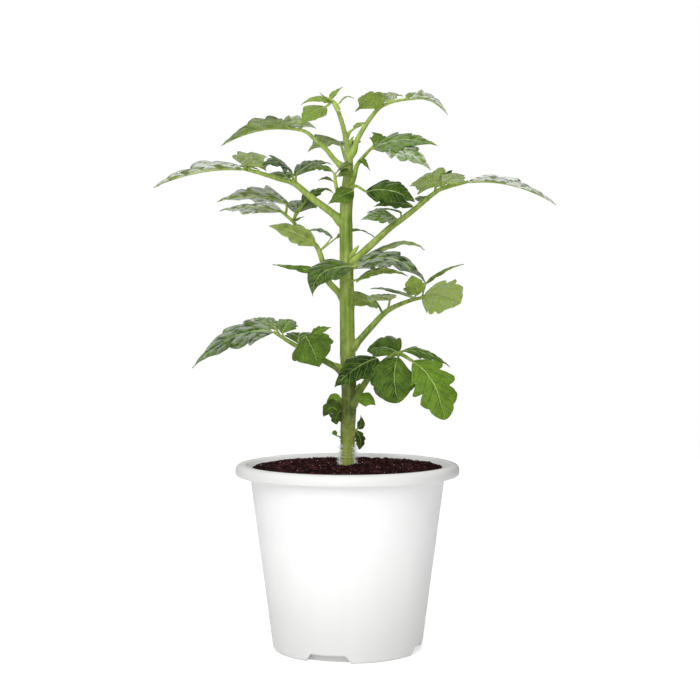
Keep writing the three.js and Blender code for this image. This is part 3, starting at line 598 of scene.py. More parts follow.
def finish_piece(bm, name, materials, slot, *nodes):
    """Turns a bmesh into a smooth shaded piece that rides on the plant and stands for these nodes."""
    mesh = bpy.data.meshes.new(name)
    bm.to_mesh(mesh)
    bm.free()
    for material in materials:
        mesh.materials.append(material)
    mesh.polygons.foreach_set("use_smooth", [True] * len(mesh.polygons))
    mesh.set_sharp_from_angle(angle=CRISP_ANGLE)
    piece = bpy.data.objects.new(name, mesh)
    bpy.context.scene.collection.objects.link(piece)
    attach(piece, "root")
    if nodes:
        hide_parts(*nodes)
    return piece


def smooth_step(value):
    """A smooth rise from 0 to 1."""
    value = min(1.0, max(0.0, value))
    return value * value * (3 - 2 * value)


def blend(low, high, share):
    """The value that is this share of the way from low to high."""
    return low + (high - low) * share


def smooth_path(places, steps):
    """A smooth curve through the places given, with this many steps between each two."""
    ends = [2 * places[0] - places[1], *places, 2 * places[-1] - places[-2]]
    path = []
    for before, start, end, after in zip(ends, ends[1:], ends[2:], ends[3:]):
        for step in range(steps):
            t = step / steps
            path.append(
                0.5
                * (
                    2 * start
                    + (end - before) * t
                    + (2 * before - 5 * start + 4 * end - after) * t * t
                    + (3 * start - before - 3 * end + after) * t * t * t
                )
            )
    return [*path, places[-1]]


def quadratic(start, control, end, steps):
    """Places on the quadratic curve with this control place."""
    shares = [step / steps for step in range(steps + 1)]
    return [start * (1 - t) ** 2 + control * 2 * t * (1 - t) + end * t * t for t in shares]


def path_frames(path):
    """Each place with its direction, two directions across it, and its length from the start."""
    frames = []
    # Any direction that no stem or stalk points in will do to begin with.
    side = Vector((1, 0.2, 0.1))
    length = 0.0
    for i, place in enumerate(path):
        along = (path[min(i + 1, len(path) - 1)] - path[max(i - 1, 0)]).normalized()
        side = (side - along * side.dot(along)).normalized()
        length += (place - path[i - 1]).length if i else 0
        frames.append((place, along, side.copy(), side.cross(along), length))
    return frames


# Vertices closer than this are one.
SAME_PLACE = 1e-8


def faces_round(verts):
    """The faces that meet at these vertices, each of them once."""
    return list(dict.fromkeys(face for vertex in verts for face in vertex.link_faces))


def tube(bm, frames, radius_at, sides, material, youth=0.0):
    """A tube round a path, closed at both ends. radius_at takes its length so far and its angle."""
    chart = bm.loops.layers.uv["chart"]
    young = bm.verts.layers.float["youth"]
    rows = len(frames) + 1
    grid = bmesh.ops.create_grid(bm, x_segments=rows, y_segments=sides, size=0.5)["verts"]
    spots = {}
    for vertex in grid:
        row = round((vertex.co.x + 0.5) * rows)
        turn = round((vertex.co.y + 0.5) * sides) / sides
        place, along, side, across, length = frames[min(max(row - 1, 0), len(frames) - 1)]
        angle = math.tau * (turn % 1)
        radius = 0 if row in (0, rows) else radius_at(length, angle)
        vertex.co = place + (side * math.cos(angle) + across * math.sin(angle)) * radius
        vertex[young] = youth
        spots[vertex] = (turn, length)
    faces = faces_round(grid)
    for face in faces:
        face.material_index = material
        for loop in face.loops:
            loop[chart].uv = spots[loop.vert]
    bmesh.ops.remove_doubles(bm, verts=grid, dist=SAME_PLACE)
    left = [face for face in faces if face.is_valid]
    bmesh.ops.recalc_face_normals(bm, faces=left)


# Hairs lean down or up the stem, and to a side, by shares of their length. They start a little
# under the skin, off their row by up to this much, and most of them are short.
HAIR_LEAN = (-0.45, 0.35)
HAIR_TILT = 0.3
HAIR_JITTER = 0.6 * MM
HAIR_ROOT = 0.97
SHORTEST_HAIR = 0.25
HAIR_RARITY = 1.5
# A hair's tip is this many times thinner than its root.
HAIR_TAPER = 4.5


def hairs_on(rng, frames, radius_at, count, longest):
    """Matrices that stand hairs of random length all over a tube."""
    stands = []
    for _ in range(count):
        place, along, side, across, length = frames[rng.randrange(len(frames))]
        angle = rng.uniform(0, math.tau)
        out = side * math.cos(angle) + across * math.sin(angle)
        lean = out + along * rng.uniform(*HAIR_LEAN) + side * rng.uniform(-HAIR_TILT, HAIR_TILT)
        off = rng.uniform(-HAIR_JITTER, HAIR_JITTER)
        foot = place + along * off + out * radius_at(length, angle) * HAIR_ROOT
        size = longest * rng.uniform(SHORTEST_HAIR, 1) ** HAIR_RARITY
        turn = lean.to_track_quat("Z", "Y").to_matrix().to_4x4()
        stands.append(Matrix.Translation(foot) @ turn @ Matrix.Diagonal((1, 1, size, 1)))
    return stands


def scattered(bm, count):
    """Copies what is in bm until there are this many, and numbers them in the layer copy."""
    copies = bm.verts.layers.int.new("copy")
    have = 1
    while have < count:
        made = bmesh.ops.duplicate(bm, geom=[*bm.verts, *bm.edges, *bm.faces])["geom"]
        for item in made:
            if isinstance(item, bmesh.types.BMVert):
                item[copies] += have
        have *= 2
    spare = [vertex for vertex in bm.verts if vertex[copies] >= count]
    bmesh.ops.delete(bm, geom=spare, context="VERTS")
    return copies


def hair_piece(stands, name, thickness, material, slot):
    """One piece of thin three-sided hairs, each stood by its own matrix."""
    bm = bmesh.new()
    root = thickness / 2
    upright = Matrix.Translation((0, 0, 0.5))
    bmesh.ops.create_cone(
        bm, cap_ends=True, segments=3, radius1=root, radius2=root / HAIR_TAPER, depth=1, matrix=upright
    )
    copies = scattered(bm, len(stands))
    for vertex in bm.verts:
        vertex.co = stands[vertex[copies]] @ vertex.co
    return finish_piece(bm, name, [material], slot)


# Main stem in millimetres: places of its axis and its radius at each, as in the part's source.
STEM = [
    ((0, 0, 70), 3.4),
    ((0, 0, 112), 4.2),
    ((0.5, 0, 136), 4.6),
    ((1, 0, 160), 4.6),
    ((0, 0, 190), 4.7),
    ((-0.6, 0, 224), 4.3),
    ((-1, 0, 250), 4),
    ((-1, 0, 272), 3.8),
    ((0, 0, 290), 3.3),
    ((0.8, 0, 305), 2.6),
    ((-0.6, 0, 316), 1.7),
    ((-3, 0, 327), 1.3),
    ((-5.6, 0, 335), 1.2),
]
# Buds in the leaf axils, in millimetres: where each starts and ends, and its radius.
STEM_BUDS = [
    ((-2, -4, 174), (-8, -8, 179), 1.6),
    ((4, -1, 160), (8, -3, 166), 1.4),
    ((1, -2, 244), (7.5, -3.5, 252), 1.5),
    ((0, 0, 313), (4, 0.5, 320), 1.2),
]


def leaflet(
    start, via, end, width, face, lobes=0.25, blunt=0.0, tint=0.0, fold=-0.1, silver=0.0, root=None
):
    """A leaflet in millimetres: its midrib runs from start over via to end, its upper side looks
    along face, width is its greatest breadth, lobes how deep its margin is cut, blunt how far its
    broadest place moves towards a rounded tip, tint how much lighter its green is, partly its own
    tone and partly painted light and shade, fold how far its margins rise above the midrib, as a
    share of half its breadth, silver how much of it lies under pale down with its painted sheen,
    and root where its own stalk starts, if that isn't on the leaf's stalk."""
    return {
        "start": Vector(start) * MM,
        "via": Vector(via) * MM,
        "end": Vector(end) * MM,
        "width": width * MM,
        "face": Vector(face),
        "lobes": lobes,
        "blunt": blunt,
        "tint": tint,
        "fold": fold,
        "silver": silver,
        "root": root and Vector(root) * MM,
    }


# Leaves in millimetres, as in the part's source, with some leaflets reshaped to match the real
# ones better. Each stalk starts on the stem's axis at its height, and thick is its radius at the
# stem and at its end.
# Each leaflet's lightness is partly painted light and shade, and its pale down gives a painted sheen.
LEAVES = [
    {
        "name": "leaf_lower_right",
        "height": 149,
        "stalk": [
            (5, -3, 155), (9, -6, 163), (16, -11, 173), (24, -18, 181), (31, -26, 185), (39, -36, 181),
        ],
        "thick": (2.2, 1),
        "leaflets": [
            leaflet((19, -17, 182), (6, -25, 177), (-8, -27, 165), 22, (-0.2, -0.7, 0.7),
                    lobes=0.06, blunt=0.4, tint=-0.42),
            leaflet((31, -22, 185), (22, -14, 189), (12, -10, 186), 26, (-0.1, -0.6, 0.8),
                    lobes=0.2, blunt=0.5, tint=-0.25),
            leaflet((31, -29, 183), (28, -38, 171), (31, -40, 156), 29, (0, -0.9, 0.4),
                    lobes=0.1, blunt=0.9, tint=-0.2),
            leaflet((39, -36, 181), (51, -44, 168), (58, -45, 146), 29, (0.1, -0.9, 0.4),
                    lobes=0.38, blunt=0.9, tint=0.15),
            leaflet((34, -25, 187), (49, -23, 185), (63, -20, 177), 17, (0.1, -0.4, 1), tint=-0.1),
            leaflet((6, -6, 155), (12, -9, 156.2), (17.5, -9, 152.5), 10, (0.1, -0.85, 0.45),
                    lobes=0.05, blunt=0.3, tint=0.4),
        ],
    },
    {
        "name": "leaf_lower_left",
        "height": 170,
        "stalk": [(-6, -1, 175), (-13, -2, 179), (-24, -3, 185), (-35, -5, 191), (-46, -5, 198)],
        "thick": (2.1, 0.9),
        "leaflets": [
            leaflet((-46, -5, 198), (-71, -9, 195), (-96, -12, 176), 31, (-0.2, -0.55, 0.85),
                    lobes=0.28, tint=-0.25, silver=0.35),
            leaflet((-44, 1, 199), (-52, 9, 205), (-62, 16, 206), 18, (0, -0.3, 1),
                    lobes=0.4, silver=0.3),
            leaflet((-41, -1, 197), (-37, 5, 204), (-32, 12, 204), 15, (0.1, -0.5, 0.85), silver=0.2),
            leaflet((-26, -11, 196), (-22, -22, 189), (-17, -27, 177), 28, (-0.1, -0.95, 0.3),
                    lobes=0.1, blunt=0.5, tint=-0.12),
            leaflet((-23, -14, 195), (-17, -17, 199), (-10, -18, 201), 8, (0, -0.8, 0.6)),
            leaflet((-31, 3, 191), (-30, 18, 197), (-27, 34, 192), 20, (0, 0.1, 1)),
        ],
    },
    {
        "name": "leaf_middle_right",
        "height": 185,
        "stalk": [(6, 0, 191), (15, 1, 201), (25, 3, 211), (38, 6, 217), (50, 10, 220)],
        "thick": (2.2, 0.9),
        "leaflets": [
            leaflet((47, 9, 220), (59, 23, 221), (73, 37, 216), 30, (-0.35, 0.68, 0.6),
                    lobes=0.22, blunt=0.8, tint=0.35, silver=0.15),
            leaflet((42, 3, 219), (28, -9, 224), (14, -15, 225), 18, (0, -0.15, 1),
                    lobes=0.4, tint=-0.2, silver=0.4),
            leaflet((27, -2, 218), (20, -11, 220), (10, -20, 220), 19, (0, 0.35, 0.95), silver=0.4),
            leaflet((19, 8, 216), (10, 20, 219), (-2, 31, 213), 22, (0.1, 0.6, 0.8)),
            leaflet((44, 4, 221), (42, -1, 226), (40, -5, 233), 15, (0, 0.9, 0.5), blunt=0.6),
            leaflet((49, 13, 228), (60, 15, 236), (74, 17, 241), 9, (-0.2, 0.3, 1)),
        ],
    },
    {
        "name": "leaf_middle_left",
        "height": 216,
        "stalk": [
            (-4, 3, 221), (-13, 6, 231), (-16, 8, 243), (-19, 9, 251),
            (-24, 10, 256), (-31, 11, 263), (-35, 12, 268), (-42, 13, 274),
        ],
        "thick": (2.1, 0.9),
        "leaflets": [
            leaflet((-37, 15, 279), (-59, 18, 284), (-83, 19, 281), 28, (0, 0.35, 1),
                    lobes=0.3, fold=0.1, tint=-0.75, silver=0.8),
            leaflet((-42, 13, 274), (-60, 0, 276), (-79, -12, 273), 24, (0, 0.3, 1),
                    tint=-0.65, silver=0.85),
            leaflet((-33, 15, 273), (-28, 28, 281), (-21, 42, 281), 24, (0.1, -0.15, 1),
                    lobes=0.4, silver=0.4),
            leaflet((-28, 18, 279), (-19, 30, 289), (-9, 38, 288), 15, (0, 0, 1)),
            leaflet((-34, 8, 267), (-31, 4, 269), (-27, 2, 270), 4, (0, 0, 1)),
            leaflet((-20, 6, 252), (-33, 2, 260), (-49, -2, 264), 14.5, (-0.2, 0.7, 0.6),
                    lobes=0.2, blunt=0.3, tint=-0.35, silver=0.15),
            leaflet((-7, 12, 257), (5, 19, 263), (18, 25, 258), 10, (0, -0.2, 1)),
            leaflet((-9, 12, 257), (-17, 10, 262), (-26, 9, 261), 11, (0, -0.3, 1),
                    lobes=0.4, silver=0.3),
        ],
    },
    {
        "name": "leaf_front",
        "height": 224,
        "stalk": [(1, -6, 229), (1, -12, 234), (2, -18, 238)],
        "thick": (1.9, 1),
        "leaflets": [
            leaflet((4, -19, 238), (-15, -28, 234.5), (-21, -35, 220), 23, (-0.1, -0.6, 0.8),
                    lobes=0.06, tint=-0.25, silver=0.06),
            leaflet((-2, -15, 236), (-8, -18, 239), (-15, -21, 238), 10, (0, -0.5, 0.8)),
            leaflet((-9, -22, 235), (-28, -18, 237), (-46, -14, 240), 9, (0, -0.5, 0.8)),
            leaflet((3, -19, 237), (26, -27, 243), (48, -33, 228), 27, (0, -0.5, 0.85),
                    lobes=0.4, tint=-0.3, silver=0.34),
            leaflet((5, -10, 229), (20, -6, 236), (38, -2, 233), 16, (0, 0.3, 1)),
            leaflet((12, -14, 244), (32, -13, 253), (48, -9, 249), 13, (0, 0.2, 1), silver=0.3),
        ],
    },
    {
        "name": "leaf_upper_right",
        "height": 238,
        "stalk": [
            (5, -1, 243), (17, -2, 254), (27, -3, 263), (34, -4, 268),
            (43, -5, 275), (54, -6, 284), (60, -6, 287), (75, -6, 291),
        ],
        "thick": (2.4, 0.9),
        "leaflets": [
            leaflet((75, -6, 291), (102, -8, 289), (129, -10, 277), 26, (0, -0.15, 1),
                    lobes=0.3, fold=0.3, tint=-0.6, silver=1.4),
            leaflet((60, -8, 289), (50, -21, 291), (37, -34, 286), 27, (0, 0.75, 0.65),
                    lobes=0.4, tint=-0.1, silver=0.1),
            leaflet((59, -11, 290), (66, -20, 293), (71, -27, 293), 17, (0, 0.5, 0.9), silver=0.35),
            leaflet((41, -7, 276), (28, -12, 278), (16, -15, 275), 13, (0, -0.6, 0.8)),
            leaflet((31, -6, 268), (20, -12, 270), (8, -14, 267), 17, (0, -0.65, 0.75),
                    lobes=0.3, tint=0.1, silver=0.4),
            leaflet((34, -1, 272), (24, 5, 275), (12, 9, 273), 11, (0, 0, 1)),
            leaflet((55, -3, 288), (54, 12, 293), (51, 31, 290), 19, (0, 0, 1)),
            leaflet((62, -7, 289), (64, -9, 291), (64, -11, 294), 4, (0, 0.5, 0.8)),
            leaflet((45, -3, 279), (48, 8, 283), (52, 17, 281), 10, (0, 0, 1)),
        ],
    },
    {
        "name": "leaf_upper_left",
        "height": 264,
        "stalk": [
            (-5, 0, 268), (-11, -1, 273), (-22, -2, 281), (-33, -3, 290),
            (-43, -4, 293), (-53, -5, 296), (-65, -6, 299),
        ],
        "thick": (2.4, 0.9),
        "leaflets": [
            leaflet((-65, -6, 299), (-92, -8, 297), (-120, -8, 288), 26, (0, 0.05, 1),
                    lobes=0.3, fold=0.3, tint=-0.65, silver=1.25),
            leaflet((-64, -9, 301), (-58, -20, 304), (-48, -31, 304), 23, (0, 0.65, 0.75),
                    lobes=0.3, tint=-0.15, silver=0.25),
            leaflet((-56, -6, 299), (-59, -7, 300), (-62, -8, 301), 4, (0, 0, 1)),
            leaflet((-34, -8, 295), (-41, -17, 302), (-52, -23, 300), 26, (0.1, -0.5, 0.85),
                    lobes=0.5, tint=-0.35, silver=0.12),
            leaflet((-33, 0, 295), (-22, 7, 304), (-10, 15, 304), 19, (0, -0.35, 1),
                    lobes=0.35, tint=-0.2, silver=0.25),
            leaflet((-62, -3, 300), (-58, 12, 304), (-52, 27, 301), 19, (0, 0, 1)),
            leaflet((-38, 0, 293), (-42, 14, 299), (-46, 26, 296), 17, (0, -0.1, 1)),
        ],
    },
    {
        "name": "leaf_front_upper",
        "height": 282,
        "stalk": [(1, -5, 286), (5, -10, 288), (11, -17, 284)],
        "thick": (1.2, 0.7),
        "leaflets": [
            leaflet((11, -17, 284), (26, -25, 284), (41, -29, 277), 22, (0.1, -0.75, 0.65),
                    lobes=0.12, blunt=0.3, tint=-0.3),
            leaflet((4, -10, 285), (-3, -14, 282), (-12, -16, 276.5), 14, (0, -0.85, 0.5),
                    lobes=0.15, tint=-0.12),
        ],
    },
    {
        "name": "side_shoot",
        "height": 278,
        "stalk": [(-5, -5, 283), (-7, -8, 288), (-8, -9, 296)],
        "thick": (1.4, 0.8),
        "leaflets": [
            leaflet((-9, -10, 297), (-17, -11, 300), (-26, -12, 297), 10, (0, -0.45, 0.9), tint=-0.25),
            leaflet((-9, -9, 291), (-13, -10, 293), (-18, -10, 291.5), 6, (0, -0.45, 1), tint=-0.3),
            leaflet((-6, -10, 297), (-2, -14, 301), (4, -16, 300), 10, (0, -0.6, 0.8), tint=-0.2),
            leaflet((-6, -11, 294), (-2, -15, 296), (3, -17, 293), 9, (0, -0.7, 0.7), tint=-0.3),
        ],
    },
    {
        "name": "leaf_front_right",
        "height": 287,
        "stalk": [(4, -4, 294), (6, -6, 301), (11, -10, 307), (15, -14, 311)],
        "thick": (1.7, 0.8),
        "leaflets": [
            leaflet((15, -14, 311), (33, -24, 315), (54, -32, 311), 30, (0, -0.55, 0.85),
                    lobes=0.35, tint=0.08, silver=0.15),
            leaflet((16, -13, 313), (19, -8, 318), (15, -3, 322), 13, (0, -0.6, 0.7), lobes=0.4),
            leaflet((22, -23, 310), (37, -34, 306), (50, -40, 295), 20, (0.1, -0.7, 0.7),
                    lobes=0.35, tint=0.15, silver=0.75),
            leaflet((7, -10, 304), (10, -13, 303), (14, -14, 297), 6, (0.3, -0.7, 0.6)),
        ],
    },
    {
        "name": "leaf_top_left",
        "height": 298,
        "stalk": [
            (-5, -1, 302), (-9, -1, 306), (-13, -2, 311), (-19, -3, 316), (-26, -4, 322), (-37, -5, 324),
        ],
        "thick": (1.6, 0.8),
        "leaflets": [
            leaflet((-37, -5, 324), (-57, -8, 322), (-78, -10, 313), 26, (0, 0.1, 1),
                    lobes=0.2, fold=0.45, tint=-0.35, silver=0.3),
            leaflet((-41, -6, 325), (-30, -8, 327), (-19, -9, 323.5), 14, (0, 0.5, 0.85),
                    fold=0.1, tint=-0.3, silver=0.8),
            leaflet((-35, -2, 325), (-40, 11, 329), (-45, 24, 330), 15, (0, 0, 1)),
            leaflet((-39, -9, 325), (-45, -17, 327.5), (-52, -26, 326), 12, (0, 0.3, 1),
                    tint=-0.2, silver=0.3),
        ],
    },
    {
        "name": "leaf_back",
        "height": 303,
        "stalk": [(-2, 4, 309), (-4, 10, 315)],
        "thick": (1.1, 0.8),
        "leaflets": [
            leaflet((-4, 10, 315), (-12, 20, 320), (-26, 34, 314), 26, (0, 0.3, 0.95),
                    lobes=0.35, silver=0.3),
            leaflet((-2, 12, 315), (2, 24, 319), (4, 38, 315), 15, (0, 0, 1)),
        ],
    },
    {
        "name": "leaf_top_right",
        "height": 306,
        "stalk": [
            (4, -1, 311), (6, -2, 317), (10, -3, 324), (14, -4, 330),
            (19, -4, 336), (24, -5, 339), (31, -5, 341), (39, -5, 342),
        ],
        "thick": (1.7, 0.7),
        "leaflets": [
            leaflet((39, -5, 342), (51, -8, 341), (62, -10, 332), 19, (0, 0.1, 1),
                    lobes=0.3, fold=0.25, tint=-0.6, silver=1.2),
            leaflet((18, -8, 336), (13, -17, 339.5), (6, -24, 339), 22, (0, 0.75, 0.65),
                    blunt=0.4, tint=-0.2),
            leaflet((20, 0, 340), (27, 8, 346), (35, 14, 347), 11, (0, 0, 1)),
            leaflet((22, -7, 340), (26, -13, 343.5), (31, -18, 343.5), 12, (0, 0.3, 0.9), silver=0.9),
            leaflet((37, -2, 343), (41, 3, 347), (45, 9, 347), 9, (0, -0.2, 1)),
        ],
    },
    {
        "name": "leaf_back_small",
        "height": 317,
        "stalk": [(1, 3, 322), (4, 6, 325)],
        "thick": (0.8, 0.6),
        "leaflets": [
            leaflet((4, 6, 325), (8, 10, 329), (12, 15, 330), 7, (0, -0.2, 1)),
        ],
    },
    {
        "name": "growing_tip",
        "height": 335.4,
        "stalk": [(-7, -0.5, 338), (-9, -1, 341), (-12, -1, 343)],
        "thick": (1.1, 0.7),
        "leaflets": [
            leaflet((-9, -1, 340), (-18, -3, 343), (-29, -4, 339), 13, (0, -0.45, 0.9)),
            leaflet((-13, -5, 337), (-21, -13, 333.5), (-28, -17, 325), 17, (-0.3, -0.8, 0.5),
                    lobes=0.1, blunt=0.3, tint=-0.4),
            leaflet((-9, -3, 341), (-13, -4, 343), (-17, -6, 346), 3, (0, -0.5, 0.8)),
            leaflet((-11, 2, 343), (-8, 3, 347), (-3, 4, 351), 4, (0.5, -0.5, 0.7)),
            leaflet((-5, -1, 340), (-1, -2, 344), (4, -2, 343), 5, (0, -0.3, 1)),
        ],
    },
    {
        "name": "basal_leaves_left",
        "height": 142,
        "stalk": [(-4.5, -2, 143), (-6, -4, 145)],
        "thick": (0.9, 0.7),
        "leaflets": [
            leaflet((-3.5, -1, 155), (-9, -2, 155.3), (-14, -2, 151), 9.5, (0, -0.85, 0.5),
                    lobes=0.05, tint=0.4),
            leaflet((-4.5, -4, 146.5), (-10, -7, 151), (-15, -8, 145.5), 11, (-0.2, -0.9, 0.3),
                    lobes=0.3, blunt=0.6, tint=-0.3),
            leaflet((-4, -5, 149), (-7, -8, 145), (-6.5, -8, 140.5), 8, (-0.1, -0.95, 0.2),
                    lobes=0.3, blunt=0.6, tint=-0.45),
            leaflet((-7, -2, 132.8), (-8.3, -2.5, 135), (-9.8, -3, 134), 3.6, (0, -0.9, 0.3),
                    tint=0.1, root=(-2, -1.5, 131.5)),
        ],
    },
    {
        "name": "basal_leaf_right",
        "height": 132,
        "stalk": [(4.5, -3, 134), (5.8, -4, 137)],
        "thick": (0.8, 0.6),
        "leaflets": [
            leaflet((6, -4, 137.5), (8.6, -4.5, 141), (8.2, -5, 146), 5.5, (0.2, -0.95, 0.2),
                    lobes=0.1, tint=-0.5),
            leaflet((5, -4, 136.5), (8, -5.5, 131), (7.2, -5.5, 124.5), 7.5, (0.3, -0.9, 0.3),
                    lobes=0.3, blunt=0.6, tint=-0.45),
        ],
    },
]

# How young the green of a leaf is, from 0 to 1, where it isn't full grown.
YOUTH = {
    "leaf_top_right": 0.25,
    "leaf_back_small": 0.5,
    "growing_tip": 0.55,
    "side_shoot": 0.12,
    "leaf_top_left": 0.15,
}

# The outline of a blade, as in the part's source, with finer teeth between its lobes.
BLADE_SLANT = 0.42
BROADEST_AT = 0.3
BLUNT_SHIFT = 0.15
LOBES_A_SIDE = 3.6
NOTCH_SHARPNESS = 1.5
NOTCH_FADE = 3
LOBE_LEAN = 1.6
LOBE_ROUNDNESS = 0.6
LOBE_PEAK = 0.5 ** (1 / LOBE_LEAN)
TEETH_A_SIDE = 10.8
TOOTH_DEPTH = 0.025
TIP_HALF_BREADTH = 0.15 * MM
# Widths in millimetres over which a leaflet gets this many rows and columns.
BLADE_GRIDS = [(15, 84, 32), (7, 52, 20), (0, 28, 12)]
LARGE_LEAFLET = 15 * MM

# How leaflets differ by chance: how far each half bows up, how far its fold strays, how high its
# margin waves, how far one half runs ahead of the other, and how much it swells between veins.
BOW = (0.2, 0.4)
FOLD_STRAY = 0.05
WAVE = (0.03, 0.07)
HALF_AHEAD = 0.02
SWELLING = (0.8, 1.25)
# The swellings start this share of the breadth from the midrib, and are lower at the margin. The
# midrib lies in a groove. Depths are in swellings.
SWELLS_FROM = 0.12
MARGIN_FLATTER = 0.55
SWELL_ROUNDNESS = 0.8
GROOVE_DEPTH = 0.6
GROOVE_WIDTH = 0.8 * MM
LUMP_HEIGHT = 0.4
LUMPS_A_LENGTH = 9
WAVES_A_LENGTH = 2.4
# The midrib under a blade: its radius on large and on small leaflets, and how much it thins.
MIDRIB_RADII = (0.45 * MM, 0.3 * MM)
MIDRIB_TAPER = 0.85
MIDRIB_ROWS = 24
MIDRIB_SIDES = 6


def notch_share(turns):
    """How deep the margin is cut this many lobes from the base: narrow clefts, round lobes."""
    within = turns % 1
    if turns < LOBE_PEAK:
        return (1 - within) ** NOTCH_SHARPNESS
    return 1 - math.sin(math.pi * within**LOBE_LEAN) ** LOBE_ROUNDNESS


def half_breadth(u, one):
    """Half a blade's breadth at this share of its midrib."""
    broadest = BROADEST_AT + BLUNT_SHIFT * one["blunt"]
    taper = 2 - one["blunt"]
    rise = (u / broadest) ** (taper * broadest)
    egg = rise * ((1 - u) / (1 - broadest)) ** (taper * (1 - broadest))
    fade = min(1, NOTCH_FADE * (1 - u))
    notch = one["lobes"] * notch_share(u * LOBES_A_SIDE) * fade
    tooth = TOOTH_DEPTH * notch_share(1 + u * TEETH_A_SIDE) * fade
    return max(TIP_HALF_BREADTH, 0.5 * one["width"] * egg * (1 - notch) * (1 - tooth))


def midrib_control(one):
    """The control place of the quadratic curve that a midrib follows."""
    return 2 * one["via"] - (one["start"] + one["end"]) / 2


def blade_spine(one, rows, ahead):
    """Each row of a blade: its place on the midrib, the directions along, across and up, and half
    the breadth on either side, where one side runs ahead of the other."""
    start, control, end = one["start"], midrib_control(one), one["end"]
    spine = []
    for row, place in enumerate(quadratic(start, control, end, rows)):
        u = row / rows
        along = ((control - start) * (1 - u) + (end - control) * u).normalized()
        across = one["face"].cross(along).normalized()
        lead = ahead * math.sin(math.pi * u)
        halves = [half_breadth(min(1, max(0, u + side * lead)), one) for side in (1, -1)]
        spine.append((place, along, across, along.cross(across), halves))
    return spine


def blade(bm, one, plant, rng, youth):
    """One leaflet: a quilted upper side, the underside below it, and the raised midrib."""
    chart = bm.loops.layers.uv["chart"]
    layers = bm.verts.layers.float
    below = bm.verts.layers.float_vector["below"]
    rows, columns = next((r, c) for over, r, c in BLADE_GRIDS if one["width"] > over * MM)
    curve = quadratic(one["start"], midrib_control(one), one["end"], MIDRIB_ROWS)
    length = sum((b - a).length for a, b in zip(curve, curve[1:]))
    bow = rng.uniform(*BOW)
    fold = one["fold"] + rng.uniform(-FOLD_STRAY, FOLD_STRAY)
    wave = rng.uniform(*WAVE)
    phases = [rng.uniform(0, math.tau) for _ in range(2)]
    spine = blade_spine(one, rows, rng.uniform(-HALF_AHEAD, HALF_AHEAD))
    puff = plant.quilting * length * rng.uniform(*SWELLING)
    grid = bmesh.ops.create_grid(bm, x_segments=rows, y_segments=columns, size=0.5)["verts"]
    spots = {}
    for vertex in grid:
        u = vertex.co.x + 0.5
        v = 2 * vertex.co.y
        place, along, across, up, halves = spine[round(u * rows)]
        half = halves[v < 0]
        out = abs(v)
        forward = out * half * BLADE_SLANT * (1 - u)
        x = u + forward / length
        y = out * half / length
        turn = x - y * (VEIN_RAKE + VEIN_BEND * y) - VEIN_FIRST + (VEIN_LATER if v < 0 else 0)
        swell = abs(math.sin(math.pi * turn / VEIN_SPACING)) ** SWELL_ROUNDNESS - 0.5
        window = smooth_step(out / SWELLS_FROM) * (1 - MARGIN_FLATTER * out**3)
        lump = noise.noise(Vector((x, y if v > 0 else -y, phases[0])) * LUMPS_A_LENGTH)
        lift = puff * (swell + LUMP_HEIGHT * lump) * window
        lift -= puff * GROOVE_DEPTH * math.exp(-((out * half / GROOVE_WIDTH) ** 2))
        lift += half * out * (fold + bow * (1 - out))
        lift += half * out * out * wave * math.sin(math.tau * WAVES_A_LENGTH * u + phases[v < 0])
        vertex.co = place + across * (v * half) + along * forward + up * lift
        # Painted light and shade and painted sheen are carried to the blade's material here.
        vertex[layers["tint"]] = one["tint"]
        vertex[layers["youth"]] = youth
        vertex[layers["silver"]] = one["silver"]
        vertex[layers["swell"]] = swell * window
        vertex[below] = up * -plant.blade_thickness
        spots[vertex] = (x, 0.5 + (y if v > 0 else -y))
    top = faces_round(grid)
    for face in top:
        for loop in face.loops:
            loop[chart].uv = spots[loop.vert]
    made = bmesh.ops.extrude_face_region(bm, geom=top, use_keep_orig=True)["geom"]
    lower = [item for item in made if isinstance(item, bmesh.types.BMVert)]
    for vertex in lower:
        vertex.co += vertex[below]
    for item in made:
        if isinstance(item, bmesh.types.BMFace):
            item.material_index = 1
    bmesh.ops.recalc_face_normals(bm, faces=faces_round([*grid, *lower]))
    # The midrib stands out below the blade and thins towards the tip.
    rib = MIDRIB_RADII[one["width"] <= LARGE_LEAFLET]
    depth = plant.blade_thickness + 0.5 * puff
    path = [place - up * depth for place, _, _, up, _ in spine[1 : -1 : max(1, rows // MIDRIB_ROWS)]]
    frames = path_frames(path)
    reach = frames[-1][4]
    tube(bm, frames, lambda far, angle: rib * (1 - MIDRIB_TAPER * far / reach), MIDRIB_SIDES, 2, youth)


def leaf_bmesh():
    """An empty bmesh with the layers that blades and stalks fill in."""
    bm = bmesh.new()
    bm.loops.layers.uv.new("chart")
    for name in ("tint", "youth", "swell", "silver"):
        bm.verts.layers.float.new(name)
    bm.verts.layers.float_vector.new("below")
    return bm


def stem_axis(height):
    """The place on the stem's axis at a height, in millimetres."""
    for (low, _), (high, _) in zip(STEM, STEM[1:]):
        if height <= high[2] or high is STEM[-1][0]:
            share = min(1, (height - low[2]) / (high[2] - low[2]))
            return Vector(low).lerp(Vector(high), share)


def stem_radius(height):
    """The stem's radius at a height, all in millimetres."""
    for (low, thin), (high, thick) in zip(STEM, STEM[1:]):
        if height <= high[2]:
            return blend(thin, thick, max(0, (height - low[2]) / (high[2] - low[2])))
    return STEM[-1][1]


